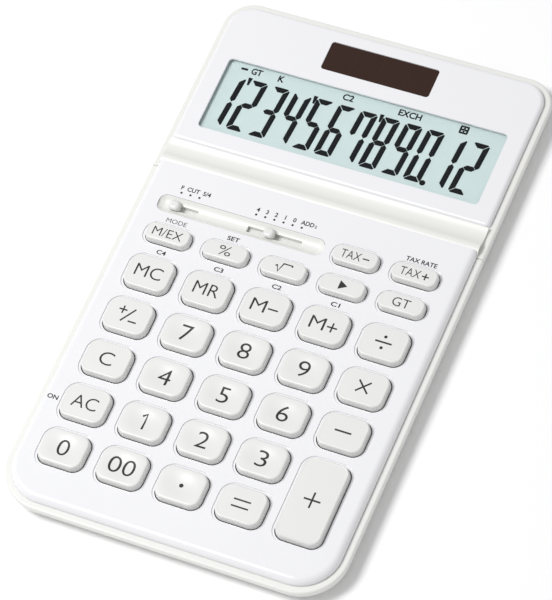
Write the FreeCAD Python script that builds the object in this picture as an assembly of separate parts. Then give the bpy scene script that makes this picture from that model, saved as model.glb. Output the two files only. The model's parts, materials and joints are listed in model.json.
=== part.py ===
# Slim desk calculator with a tilting display section. Millimetres, +Z up, +Y towards the display.
# Origin: the middle of the whole footprint, on the surface that the calculator stands on.
import FreeCAD, Part
import math
import os

V = FreeCAD.Vector
X_AXIS, Z_AXIS = V(1, 0, 0), V(0, 0, 1)

# ---- overall form -------------------------------------------------------------------------
width = 109.0
length = 183.5
front_corner_r = 14.5      # plan radius of the two corners nearest the user
rear_corner_r = 9.5        # plan radius of the two corners of the display section
case_bottom_z = 0.8        # underside of the case above the desk
rim_z = 6.3                # top of the lower shells' rim, where the outline is widest
plate_z = 8.7              # top of the key plate
panel_z = 8.0              # top of the display panel
key_top_z = 10.8
under_edge_r = 4.4         # roll of the lower shells' sides into the underside
rim_edge_r = 0.7           # rounding of the rim's outer top edge
plate_edge_r = 2.1         # roll of the key plate's edge down to the seam
panel_edge_r = 1.3         # the same on the display panel

# ---- walls and seams ----------------------------------------------------------------------
floor_wall = 1.2
side_wall = 3.2            # rim, from the outline to the inside
plate_wall = 1.3
panel_wall = 1.5
rim_width = 2.2            # what shows of the rim outside the seam
seam_gap = 0.2             # height of the shadow line between upper and lower shells
skirt_wall = 0.9           # locating skirt under the plate and the panel
skirt_depth = 1.8          # how far the skirt reaches below the rim
skirt_gap = 0.2
part_gap = 0.1             # between pieces that are assembled together
overlap = 0.2              # how far shapes run into each other where they become one piece
inner_roll = 1.2           # how much smaller the inside roll is than the outside one

# ---- keys ---------------------------------------------------------------------------------
column_pitch = 19.05
row_pitch = 15.55
first_row_from_front = 19.6
small_row_step = 14.0      # from the top row of full keys to the first row of low keys
tax_row_step = 10.5        # from there to the second row of low keys
key_width = 14.6
key_depth = 11.5
small_key_depth = 6.2
key_corner_r = 3.3
key_side_flat = 0.35       # least straight half-length left between two rounded corners
key_taper = 0.2            # how far each side leans in towards the top
key_edge_r = 0.6
key_gap = 0.3              # between a key and its opening
surround_width = 0.75      # flat ring around each opening
surround_depth = 0.35
key_flange = 0.5           # how far the flange reaches past the opening
key_flange_wall = 0.7
key_wall = 1.1
key_post_r = 2.0
key_travel = 1.6
dish_r = 24.0              # sphere that hollows the digit keys
dish_depth = 0.3
rest_gap = 0.15            # between a key's flange and the plate, key released
post_clearance = 0.2       # between a narrow key's post and its side walls

# ---- key board and rubber sheet -----------------------------------------------------------
board_wall = 1.0
press_gap = 0.45           # between a pressed key's flange and the rubber sheet
sheet_wall = 0.5
dome_base_r = 3.6
dome_top_r = 2.4
dome_wall = 0.5
dome_cap = 0.7
dome_gap = 0.05            # between a dome and the key above it
board_inset = 1.2          # from the inside of the case to the board's edge
chip_r = 5.0
chip_height = 0.75
chip_round = 0.6           # rounding of the potting's edge
sheet_border = 0.2         # rubber sheet past the keys' flanges, to each side
board_before_barrel = 2.0

# ---- selectors ----------------------------------------------------------------------------
trough_width = 6.0
trough_corner_r = 2.5
trough_depth = 1.45
trough_floor = 1.0
trough_flange = 1.3
trough_flange_wall = 0.75
trough_above_tax_row = 0.35
scoop_lip = 0.35           # flat edge left round the scoop
scoop_end_share = 0.75     # how much of the scoop's half-width its rounded ends take
detent_pitch = 3.0
rounding_from_end = 5.5    # rounding selector at its first mark, from the trough's left end
rounding_marks = 3
decimal_from_end = 18.0    # decimal selector at its third mark, from the trough's right end
decimal_marks_before = 2
decimal_marks_after = 3
knob_length = 3.6
knob_width = 3.4
knob_corner_r = 1.4
knob_edge_r = 1.1
knob_top_above_plate = 0.9
knob_lift = 0.25           # between a knob and the trough below it
neck_length = 2.2
neck_width = 1.5
neck_into_knob = 0.6
slot_gap = 0.3
rounding_carrier = (4.5, 7.5)      # how far a carrier reaches to each side of its knob,
decimal_carrier = (10.0, 10.0)     # long enough to close the slot above it
carrier_width = 6.4
carrier_wall = 0.9
carrier_gap = 0.3
wiper_leaf = 0.2
wiper_length = 5.0
wiper_width = 3.0
wiper_gap = 0.1
wiper_finger = 1.0

# ---- hinge --------------------------------------------------------------------------------
seam_from_front = 120.6    # rear edge of the key plate
seam_to_axis = 1.45
hinge_z = 5.3
barrel_r = 2.9
barrel_gap = 0.25
barrel_wall = 0.8
barrel_skin_from, barrel_skin_to = 40.0, 195.0      # degrees round the axis from +Y, lid flat
curtain_wall = 1.0
curtain_side_gap = 1.2     # from the inside of the case to the curtain's ends
curtain_from, curtain_to = 112.0, 212.0
tongue = 1.3               # case floor past the axis
tongue_gap = 0.3
knuckle_from_side = 6.5
ear_width = 2.6
ear_gap = 0.3
rib_wall = 1.8
ear_r = 1.9
ear_front, ear_rear = 0.9, 1.9
pin_r = 0.9
pin_running_gap = 0.05
pin_end_gap = 0.2
lid_wall_from_axis = 3.2   # front wall of the display section
lid_wall = 1.0
band_start = 1.6           # where the hinge band leaves the barrel
band_low, band_low_z = 3.7, 7.05
band_end_z = 7.75
band_underside_z = 6.4
band_to_panel = 7.4        # from the axis to the display panel
ledge_length = 2.0         # ledge of the band under the panel's front edge
ledge_wall = 1.2
hook_xs = (-30.0, 0.0, 30.0)
hook_width = 8.0
hook_wall = 0.9
hook_toe = 1.6
panel_corner_extra = 0.4   # front corners of the display panel, past its edge rounding
skirt_from_panel_front = 4.0
lid_screw_bite = 0.3       # lid screw's hole above the boss

# ---- display ------------------------------------------------------------------------------
window_length, window_height = 92.5, 26.1
window_centre_from_front = 148.5
window_corner_r = 1.4
window_wall = 0.6
window_recess = 0.7
window_margin = 1.2
lcd_margin_x, lcd_margin_y = 1.75, 1.7
lcd_wall = 1.5
lcd_gap = 0.05
lcd_frame_wall = 0.8
lcd_ledge = 0.6
lcd_ledge_width = 3.6
display_board_wall = 0.8
elastomer_width = 1.6
elastomer_from_edge = 1.0
solar_length, solar_height = 35.9, 10.4
solar_centre_from_front = 171.6
solar_corner_r = 1.0
solar_margin = 1.2
solar_wall = 0.9
solar_recess = 0.4

# ---- power --------------------------------------------------------------------------------
cell_x = -33.5
cell_from_front = 172.2
cell_r = 5.8
cell_height = 3.05
cell_gap = 0.2
cell_edge_r = 0.35         # rounding of the can, and the height of its cap
cell_rim = 0.9             # from the can's side to its cap
bay_wall = 1.0
contact_wall = 0.2
contact_length, contact_width = 8.0, 4.0
contact_lug = 0.9          # foot of the upper contact on the bay wall
contact_riser_lift = 0.8   # lower end of the side contact above the cell's underside
contact_overhang = 2.0     # side contact over the display board's edge
minus_slot_reach = 3.0     # slots for the contacts, past the cell's edge
plus_slot_reach = 4.0
plus_slot_depth = 1.5
plus_slot_lift = 0.6
cover_length, cover_width = 20.0, 13.6
cover_corner_r = 2.0
cover_wall = 1.0
cover_web = 0.3            # what is left of the cover under its screw's head
cover_edge = 1.0           # from the cover's end to its screw's head
cover_post_height = 2.4
post_cap = 0.4
cover_gap = 0.15
cover_shift = 2.0          # cover's middle from the cell's, towards its screw
grip_grooves = 4
grip_pitch, grip_width, grip_depth = 1.6, 0.7, 0.3
grip_half_length = 4.0
grip_from_end = 2.5

# ---- screws, feet, cable ------------------------------------------------------------------
lid_screw_from_side, lid_screw_from_rear = 9.1, 6.6
case_screw_from_side, case_screw_from_seam = 10.5, 6.4
screw_r = 0.8
screw_head_r = 1.75
screw_head = 0.8
board_screw_head_r = 1.25
cross_half, cross_depth = 0.22, 0.4
cross_reach = 0.62         # half-length of the cross slot, as a share of the head's radius
head_edge_r = 0.36
head_sink = 0.2            # head below the underside
thread_gap = 0.02
tip_gap = 0.5              # from a screw's tip to the end of its hole
hole_gap = 0.15
boss_r = 2.2
boss_hole_gap = 0.4
post_r = 1.5
landing_r = 3.0            # raised ring in the case floor round each case screw
landing_height = 0.9
foot_r = 4.0
foot_sink = 0.3
foot_edge_r = 0.3
foot_inset_x, foot_inset_front, foot_before_seam = 15.0, 13.0, 11.0
cable_width = 24.0
cable_wall = 0.25
cable_reach = 9.0          # how far the cable lies under each board
cable_slot_gap = 0.5
cable_slot_reach = 6.0     # cable slot in the hinge curtain, forward of the seam

# ---- worked out from the sizes above ------------------------------------------------------
half_width = width / 2
knuckle_x = half_width - knuckle_from_side
front_y, rear_y = -length / 2, length / 2
seam_y = front_y + seam_from_front
axis_y = seam_y + seam_to_axis
panel_front_y = axis_y + band_to_panel
ledge_rear_y = panel_front_y + ledge_length
upper_z = rim_z + seam_gap             # lowest edge of the plate and the panel
floor_z = case_bottom_z + floor_wall
plate_under_z = plate_z - plate_wall
panel_under_z = panel_z - panel_wall
first_row_y = front_y + first_row_from_front
top_row_y = first_row_y + 4 * row_pitch
small_row_y = top_row_y + small_row_step
tax_row_y = small_row_y + tax_row_step
trough_y = tax_row_y + trough_above_tax_row
flange_top_z = plate_under_z - rest_gap
flange_bottom_z = flange_top_z - key_flange_wall
sheet_top_z = flange_bottom_z - key_travel - press_gap
board_top_z = sheet_top_z - sheet_wall
board_z = board_top_z - board_wall
dome_top_z = flange_bottom_z - dome_gap
trough_top_z = plate_z - part_gap
trough_low_z = plate_z - trough_depth
trough_under_z = trough_low_z - trough_floor
carrier_top_z = trough_under_z - carrier_gap
carrier_bottom_z = carrier_top_z - carrier_wall
window_y = front_y + window_centre_from_front
window_top_z = panel_z - window_recess
lcd_top_z = panel_under_z - lcd_gap
lcd_bottom_z = lcd_top_z - lcd_wall
lcd_half_x = window_length / 2 + lcd_margin_x
lcd_half_y = window_height / 2 + lcd_margin_y
solar_y = front_y + solar_centre_from_front
cell_y = front_y + cell_from_front
display_board_top_z = board_z + display_board_wall
cover_top_z = case_bottom_z + cover_wall
cell_bottom_z = cover_top_z + part_gap
cell_top_z = cell_bottom_z + cell_height
cover_x = cell_x + cover_shift
cover_screw_x = cover_x + cover_length / 2 - screw_head_r - cover_edge
cover_recess = cover_wall - cover_web      # how deep the screw's head sits in the cover
lid_screw_points = [(sx * (half_width - lid_screw_from_side), rear_y - lid_screw_from_rear) for sx in (-1, 1)]
lid_screw_points.append((solar_length / 2 + solar_margin + landing_r + 2 * part_gap, solar_y))


# ---- shape helpers ------------------------------------------------------------------------
def box(x0, x1, y0, y1, z0, z1):
    return Part.makeBox(x1 - x0, y1 - y0, z1 - z0, V(x0, y0, z0))


def cylinder_z(x, y, r, z0, z1):
    return Part.makeCylinder(r, z1 - z0, V(x, y, z0), Z_AXIS)


def cylinder_x(y, z, r, x0, x1):
    return Part.makeCylinder(r, x1 - x0, V(x0, y, z), X_AXIS)


def outline(x0, x1, y0, y1, r_front, r_rear, z):
    """A closed rounded rectangle in plan, with one radius for its front corners and one for its rear."""
    corners = [
        (x1 - r_front, y0 + r_front, r_front, -90),
        (x1 - r_rear, y1 - r_rear, r_rear, 0),
        (x0 + r_rear, y1 - r_rear, r_rear, 90),
        (x0 + r_front, y0 + r_front, r_front, 180),
    ]
    arcs = []
    for cx, cy, r, start in corners:
        at = [math.radians(start + turn) for turn in (0, 45, 90)]
        arcs.append([V(cx + r * math.cos(a), cy + r * math.sin(a), z) for a in at])
    edges = []
    for i, arc in enumerate(arcs):
        edges.append(Part.Arc(*arc).toShape())
        after = arcs[(i + 1) % len(arcs)][0]
        if arc[2].distanceToPoint(after) > 1e-6:
            edges.append(Part.LineSegment(arc[2], after).toShape())
    return Part.Wire(edges)


def slab(x0, x1, y0, y1, r_front, r_rear, z0, z1):
    face = Part.Face(outline(x0, x1, y0, y1, r_front, r_rear, z0))
    return face.extrude(V(0, 0, z1 - z0))


def pad(x, y, length_x, length_y, r, z0, z1):
    return slab(x - length_x / 2, x + length_x / 2, y - length_y / 2, y + length_y / 2, r, r, z0, z1)


def round_level(shape, z, r):
    """Round every edge that lies flat at height z."""
    near = 1e-4
    flat = [e for e in shape.Edges if abs(e.BoundBox.ZMin - z) < near and abs(e.BoundBox.ZMax - z) < near]
    return shape.makeFillet(r, flat)


def body_slab(inset, z0, z1):
    """The whole calculator's plan outline, moved in by inset."""
    return slab(-half_width + inset, half_width - inset, front_y + inset, rear_y - inset,
                front_corner_r - inset, rear_corner_r - inset, z0, z1)


def side_profile(points, x0, x1):
    """A prism along X from (y, z) points."""
    wire = Part.makePolygon([V(x0, y, z) for y, z in points + points[:1]])
    return Part.Face(wire).extrude(V(x1 - x0, 0, 0))


def ring_sector(r_in, r_out, start, end, x0, x1):
    """Part of a tube round the hinge axis, between two angles measured from +Y towards +Z."""
    tube = cylinder_x(axis_y, hinge_z, r_out, x0, x1).cut(cylinder_x(axis_y, hinge_z, r_in, x0, x1))
    reach = 3 * r_out
    steps = 8
    fan = [(axis_y, hinge_z)]
    for i in range(steps + 1):
        a = math.radians(start + (end - start) * i / steps)
        fan.append((axis_y + reach * math.cos(a), hinge_z + reach * math.sin(a)))
    return tube.common(side_profile(fan, x0, x1))


def screw(x, y, z, tip_z, head_r=screw_head_r):
    """A pan-head screw that points up: its cross-slotted head starts at z and its shank ends at tip_z."""
    head = cylinder_z(x, y, head_r, z, z + screw_head)
    head = round_level(head, z, head_edge_r)
    slot = head_r * cross_reach
    for half_x, half_y in ((slot, cross_half), (cross_half, slot)):
        head = head.cut(box(x - half_x, x + half_x, y - half_y, y + half_y, z, z + cross_depth))
    return head.fuse(cylinder_z(x, y, screw_r, z + screw_head - part_gap, tip_z))


def save(name, shape):
    solids = shape.removeSplitter().Solids
    made = solids[0] if len(solids) == 1 else Part.makeCompound(solids)
    if not made.isValid():
        raise ValueError(name + " is not a valid shape")
    made.exportStep("parts/" + name + ".step")
    print("%-24s %3d solid(s) %10.1f mm3" % (name, len(solids), made.Volume))


# ---- where the keys are -------------------------------------------------------------------
def column_x(column):
    return (column - 2) * column_pitch


def key_at(name, x, y, depth, dished=False):
    corner_r = min(key_corner_r, min(key_width, depth) / 2 - key_side_flat)
    return {"name": name, "x": x, "y": y, "depth": depth, "corner_r": corner_r, "dished": dished}


def full_key(name, column, row, dished=False):
    return key_at(name, column_x(column), first_row_y + row * row_pitch, key_depth, dished)


def low_key(name, column, y):
    return key_at(name, column_x(column), y, small_key_depth)


keys = [
    full_key("key_0", 0, 0, True), full_key("key_00", 1, 0, True),
    full_key("key_point", 2, 0, True), full_key("key_equals", 3, 0),
    full_key("key_ac", 0, 1), full_key("key_1", 1, 1, True),
    full_key("key_2", 2, 1, True), full_key("key_3", 3, 1, True),
    full_key("key_c", 0, 2), full_key("key_4", 1, 2, True),
    full_key("key_5", 2, 2, True), full_key("key_6", 3, 2, True),
    full_key("key_minus", 4, 2),
    full_key("key_sign", 0, 3), full_key("key_7", 1, 3, True),
    full_key("key_8", 2, 3, True), full_key("key_9", 3, 3, True),
    full_key("key_multiply", 4, 3),
    full_key("key_memory_clear", 0, 4), full_key("key_memory_recall", 1, 4),
    full_key("key_memory_minus", 2, 4), full_key("key_memory_plus", 3, 4),
    full_key("key_divide", 4, 4),
    low_key("key_exchange", 0, small_row_y), low_key("key_percent", 1, small_row_y),
    low_key("key_root", 2, small_row_y), low_key("key_backspace", 3, small_row_y),
    low_key("key_grand_total", 4, small_row_y),
    low_key("key_tax_minus", 3, tax_row_y), low_key("key_tax_plus", 4, tax_row_y),
]
keys.append(key_at("key_plus", column_x(4), first_row_y + row_pitch / 2, key_depth + row_pitch))

surround_half = key_width / 2 + key_gap + surround_width
trough_left = column_x(0) - surround_half
trough_right = column_x(2) + surround_half
rounding_x = trough_left + rounding_from_end
decimal_x = trough_right - decimal_from_end
between_columns = column_pitch / 2
between_rows = row_pitch / 2
rear_pair_y = first_row_y + 7 * between_rows
case_screw_points = [
    (-3 * between_columns, first_row_y + between_rows), (between_columns, first_row_y + between_rows),
    (-3 * between_columns, rear_pair_y), (3 * between_columns, rear_pair_y),
]
rear_screw_x, rear_screw_y = half_width - case_screw_from_side, seam_y - case_screw_from_seam
case_screw_points += [(-rear_screw_x, rear_screw_y), (rear_screw_x, rear_screw_y)]
post_x = 2 * column_pitch + key_width / 2 + key_gap + key_flange + post_r + boss_hole_gap
board_screw_points = [(sx * post_x, first_row_y + row * row_pitch) for sx in (-1, 1) for row in (1.5, 3.5)]
selector_slots = [
    (rounding_x, 0, (rounding_marks - 1) * detent_pitch),
    (decimal_x, -decimal_marks_before * detent_pitch, decimal_marks_after * detent_pitch),
]


# ---- casings ------------------------------------------------------------------------------
def lower_envelope():
    """Both lower shells in one, before the hinge parts them: a tray with a rolled underside."""
    tray = body_slab(0, case_bottom_z, rim_z)
    tray = round_level(tray, case_bottom_z, under_edge_r)
    tray = round_level(tray, rim_z, rim_edge_r)
    inside = body_slab(side_wall, floor_z, rim_z + 1)
    return tray, round_level(inside, floor_z, under_edge_r - inner_roll)


def lower_case():
    tray, inside = lower_envelope()
    reach = 2 * width
    before_axis = box(-reach, reach, front_y - 1, axis_y, 0, rim_z + 1)
    under_axis = box(-reach, reach, axis_y, axis_y + tongue, 0, floor_z)
    barrel_room = cylinder_x(axis_y, hinge_z, barrel_r + barrel_gap, -reach, reach)
    shell = tray.cut(inside).common(before_axis.fuse(under_axis)).cut(barrel_room)
    for sx in (-1, 1):
        shell = shell.fuse(hinge_ear(sx))
    for x, y in case_screw_points:
        shell = shell.fuse(cylinder_z(x, y, landing_r, floor_z - part_gap, floor_z + landing_height))
    for x, y in case_screw_points:
        shell = shell.cut(cylinder_z(x, y, screw_head_r + hole_gap, 0, head_seat_z()))
        shell = shell.cut(cylinder_z(x, y, screw_r + hole_gap, 0, rim_z))
    for x, y in foot_points():
        shell = shell.cut(cylinder_z(x, y, foot_r + part_gap, 0, case_bottom_z + foot_sink))
    return shell


def head_seat_z():
    return case_bottom_z + head_sink + screw_head


def hinge_ear(sx):
    """A lug that stands on the case floor inside the barrel and holds one hinge pin."""
    x0, x1 = sorted((sx * (knuckle_x - ear_width / 2), sx * (knuckle_x + ear_width / 2)))
    eye = cylinder_x(axis_y, hinge_z, ear_r, x0, x1)
    ear_rear_y = min(ear_rear, tongue)
    stem = box(x0, x1, axis_y - ear_front, axis_y + ear_rear_y, floor_z - part_gap, hinge_z)
    return eye.fuse(stem).cut(cylinder_x(axis_y, hinge_z, pin_r, x0, x1))


def hinge_pins():
    pins = []
    for sx in (-1, 1):
        half = ear_width / 2 + ear_gap + rib_wall - pin_end_gap
        x0, x1 = sorted((sx * (knuckle_x - half), sx * (knuckle_x + half)))
        pins.append(cylinder_x(axis_y, hinge_z, pin_r, x0, x1))
    return Part.makeCompound(pins)


def foot_points():
    xs = (-half_width + foot_inset_x, half_width - foot_inset_x)
    ys = (front_y + foot_inset_front, seam_y - foot_before_seam)
    return [(x, y) for x in xs for y in ys]


def rubber_feet():
    feet = []
    for x, y in foot_points():
        foot = cylinder_z(x, y, foot_r, 0, case_bottom_z + foot_sink)
        feet.append(round_level(foot, 0, foot_edge_r))
    return Part.makeCompound(feet)


def key_opening(key, grow, z0, z1):
    return pad(key["x"], key["y"], key_width + 2 * grow, key["depth"] + 2 * grow,
               key["corner_r"] + grow, z0, z1)


def upper_case():
    dome = round_level(body_slab(rim_width, upper_z, plate_z), plate_z, plate_edge_r)
    inside = body_slab(rim_width + plate_wall, upper_z - 1, plate_under_z)
    shell = dome.cut(inside)
    skirt_inset = side_wall + skirt_gap
    skirt = body_slab(skirt_inset, rim_z - skirt_depth, plate_under_z + part_gap)
    skirt = skirt.cut(body_slab(skirt_inset + skirt_wall, 0, plate_z))
    skirt = skirt.common(box(-width, width, front_y, seam_y - curtain_wall - barrel_r, 0, plate_z))
    shell = shell.common(box(-width, width, front_y - 1, seam_y, 0, plate_z + 1))
    curtain_half = half_width - side_wall - curtain_side_gap
    curtain = ring_sector(barrel_r + barrel_gap, barrel_r + barrel_gap + curtain_wall,
                          curtain_from, curtain_to, -curtain_half, curtain_half)
    curtain = curtain.common(box(-width, width, front_y, seam_y, 0, plate_z - part_gap))
    joined = shell.fuse([skirt, curtain])
    for x, y in case_screw_points:
        foot_z = floor_z + landing_height + dome_gap
        joined = joined.fuse(cylinder_z(x, y, boss_r, foot_z, plate_under_z + part_gap))
    for x, y in board_screw_points:
        joined = joined.fuse(cylinder_z(x, y, post_r, board_top_z, plate_under_z + part_gap))
    joined = joined.cut(cylinder_x(axis_y, hinge_z, barrel_r + barrel_gap, -width, width))
    cuts = []
    for key in keys:
        cuts.append(key_opening(key, key_gap + surround_width, plate_z - surround_depth, plate_z + 1))
        cuts.append(key_opening(key, key_gap, upper_z, plate_z))
    cuts.append(trough_outline(0, upper_z, plate_z + 1))
    for x, y in case_screw_points + board_screw_points:
        cuts.append(cylinder_z(x, y, screw_r + thread_gap, 0, plate_under_z))
    cable_half = cable_width / 2 + cable_slot_gap
    cuts.append(box(-cable_half, cable_half, seam_y - cable_slot_reach, axis_y, 0, board_z + cable_slot_gap))
    return joined.cut(cuts)


# ---- keys, sheet and board ----------------------------------------------------------------
def key_cap(key):
    """A tapered cap with a retaining flange, hollow from below round a post that meets its dome."""
    x, y, depth, corner_r = key["x"], key["y"], key["depth"], key["corner_r"]
    lean_z = plate_z - surround_depth
    shaft = pad(x, y, key_width, depth, corner_r, flange_bottom_z, lean_z)
    top_r = corner_r - key_taper
    low = outline(x - key_width / 2, x + key_width / 2, y - depth / 2, y + depth / 2,
                  corner_r, corner_r, lean_z)
    high = outline(x - key_width / 2 + key_taper, x + key_width / 2 - key_taper,
                   y - depth / 2 + key_taper, y + depth / 2 - key_taper, top_r, top_r, key_top_z)
    crown = round_level(Part.makeLoft([low, high], True, True), key_top_z, key_edge_r)
    reach = 2 * (key_gap + key_flange)
    flange = pad(x, y, key_width + reach, depth + reach, corner_r + reach / 2, flange_bottom_z, flange_top_z)
    cap = shaft.fuse([crown, flange])
    hollow_top_z = key_top_z - key_wall - (dish_depth if key["dished"] else 0)
    hollow = pad(x, y, key_width - 2 * key_wall, depth - 2 * key_wall,
                 corner_r - key_wall, flange_bottom_z, hollow_top_z)
    post_r_here = min(key_post_r, depth / 2 - key_wall - post_clearance)
    hollow = hollow.cut(cylinder_z(x, y, post_r_here, flange_bottom_z, hollow_top_z))
    cap = cap.cut(hollow)
    if key["dished"]:
        cap = cap.cut(Part.makeSphere(dish_r, V(x, y, key_top_z + dish_r - dish_depth)))
    return cap


def board_outline(z0, z1):
    inset = side_wall + board_inset
    plate = body_slab(inset, z0, z1)
    return plate.common(box(-width, width, front_y, seam_y - barrel_r - board_before_barrel, z0, z1))


def key_board():
    cuts = [cylinder_z(x, y, boss_r + boss_hole_gap, 0, plate_z) for x, y in case_screw_points]
    cuts += [cylinder_z(x, y, screw_r + hole_gap, 0, plate_z) for x, y in board_screw_points]
    return board_outline(board_z, board_top_z).cut(cuts)


def sheet_outline():
    edge = key_width / 2 + key_gap + key_flange + sheet_border
    x1 = column_x(4) + edge
    low_y = first_row_y - key_depth / 2 - key_gap - key_flange
    mid_y = small_row_y + small_key_depth / 2 + key_gap + key_flange
    high_y = tax_row_y + small_key_depth / 2 + key_gap + key_flange
    body = box(-x1, x1, low_y, mid_y, board_top_z, sheet_top_z)
    return body.fuse(box(column_x(3) - edge, x1, mid_y - overlap, high_y, board_top_z, sheet_top_z))


def dome_radii(key):
    room = key["depth"] / 2
    base = min(dome_base_r, room + key_gap)
    return base, min(dome_top_r, base - 2 * dome_wall)


def key_pad_sheet():
    domes, hollows = [], []
    for key in keys:
        base_r, top_r = dome_radii(key)
        at = V(key["x"], key["y"], sheet_top_z)
        domes.append(Part.makeCone(base_r, top_r, dome_top_z - sheet_top_z, at, Z_AXIS))
        under = V(key["x"], key["y"], board_top_z)
        height = dome_top_z - dome_cap - board_top_z
        hollows.append(Part.makeCone(base_r - dome_wall, top_r - dome_wall, height, under, Z_AXIS))
    holes = [cylinder_z(x, y, boss_r + boss_hole_gap, 0, plate_z) for x, y in case_screw_points]
    holes += [cylinder_z(x, y, post_r + boss_hole_gap, 0, plate_z) for x, y in board_screw_points]
    return sheet_outline().fuse(domes).cut(hollows + holes)


def calculator_chip():
    """A potted chip on the board's underside, in the clear between rows."""
    y = first_row_y + 2.5 * row_pitch
    blob = cylinder_z(0, y, chip_r, board_z - chip_height, board_z)
    return round_level(blob, board_z - chip_height, chip_round)


def board_screws():
    made = []
    for x, y in board_screw_points:
        made.append(screw(x, y, board_z - screw_head, plate_under_z - tip_gap, board_screw_head_r))
    return Part.makeCompound(made)


def case_screws():
    made = []
    for x, y in case_screw_points:
        made.append(screw(x, y, case_bottom_z + head_sink, plate_under_z - tip_gap))
    return Part.makeCompound(made)


# ---- selectors ----------------------------------------------------------------------------
def trough_outline(inset, z0, z1):
    middle = (trough_left + trough_right) / 2
    return pad(middle, trough_y, trough_right - trough_left - 2 * inset, trough_width - 2 * inset,
               trough_corner_r - inset, z0, z1)


def selector_trough():
    """A scooped channel with a slot for each selector, held under the plate by its flange."""
    body = trough_outline(part_gap, trough_under_z, trough_top_z)
    flange_top = plate_under_z - dome_gap
    body = body.fuse(trough_outline(-trough_flange, flange_top - trough_flange_wall, flange_top))
    half = trough_width / 2 - scoop_lip
    depth = trough_top_z - trough_low_z
    scoop_r = (half ** 2 + depth ** 2) / (2 * depth)
    ball_z = trough_low_z + scoop_r
    end = part_gap + scoop_lip + half * scoop_end_share
    x0, x1 = trough_left + end, trough_right - end
    cuts = [cylinder_x(trough_y, ball_z, scoop_r, x0, x1)]
    cuts += [Part.makeSphere(scoop_r, V(x, trough_y, ball_z)) for x in (x0, x1)]
    for x, back, forward in selector_slots:
        reach = neck_length / 2 + slot_gap
        half_slot = neck_width / 2 + slot_gap
        cuts.append(box(x + back - reach, x + forward + reach, trough_y - half_slot, trough_y + half_slot,
                        trough_under_z - 1, plate_z))
    return body.cut(cuts)


def selector(x, carrier_reach):
    """A knob on a neck, with the carrier that slides under the trough."""
    knob_bottom = trough_low_z + knob_lift
    knob_top = plate_z + knob_top_above_plate
    knob = round_level(pad(x, trough_y, knob_length, knob_width, knob_corner_r, knob_bottom, knob_top),
                       knob_top, knob_edge_r)
    half = knob_width / 2
    keel = cylinder_x(trough_y, knob_bottom + half, half, x - knob_length, x + knob_length)
    above = box(x - knob_length, x + knob_length, trough_y - half, trough_y + half, knob_bottom + half, knob_top)
    knob = knob.common(keel.fuse(above))
    neck = box(x - neck_length / 2, x + neck_length / 2, trough_y - neck_width / 2, trough_y + neck_width / 2,
               carrier_top_z - part_gap, knob_bottom + neck_into_knob)
    carrier = box(x - carrier_reach[0], x + carrier_reach[1],
                  trough_y - carrier_width / 2, trough_y + carrier_width / 2, carrier_bottom_z, carrier_top_z)
    return knob.fuse([neck, carrier])


def wiper(x):
    """A leaf under the carrier with two fingers that brush the board."""
    leaf_z = carrier_bottom_z - wiper_leaf
    made = box(x - wiper_length / 2, x + wiper_length / 2, trough_y - wiper_width / 2,
               trough_y + wiper_width / 2, leaf_z, carrier_bottom_z)
    for sy in (-1, 1):
        y = trough_y + sy * (wiper_width - wiper_finger) / 2
        y0, y1 = y - wiper_finger / 2, y + wiper_finger / 2
        made = made.fuse(box(x + wiper_length / 2 - wiper_leaf, x + wiper_length / 2, y0, y1,
                             board_top_z + wiper_gap, leaf_z + part_gap))
    return made


# ---- display section ----------------------------------------------------------------------
def hinge_band():
    """The hollow-topped strip from the barrel to the display panel."""
    dy, r = band_start, barrel_r
    leave = V(0, axis_y + dy, hinge_z + math.sqrt(r * r - dy * dy))
    low = V(0, axis_y + band_low, band_low_z)
    end = V(0, panel_front_y - part_gap, band_end_z)
    ledge_top = upper_z - part_gap
    ledge_low = ledge_top - ledge_wall
    corners = [end, V(0, end.y, ledge_top), V(0, ledge_rear_y, ledge_top), V(0, ledge_rear_y, ledge_low),
               V(0, end.y, ledge_low), V(0, end.y - ledge_wall, band_underside_z),
               V(0, axis_y + barrel_r - barrel_wall - overlap, band_underside_z), leave]
    edges = [Part.Arc(leave, low, end).toShape()]
    edges += [Part.LineSegment(a, b).toShape() for a, b in zip(corners[:-1], corners[1:])]
    reach = half_width - rim_width
    face = Part.Face(Part.Wire(edges))
    face.translate(V(-reach, 0, 0))
    return face.extrude(V(2 * reach, 0, 0))


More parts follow.
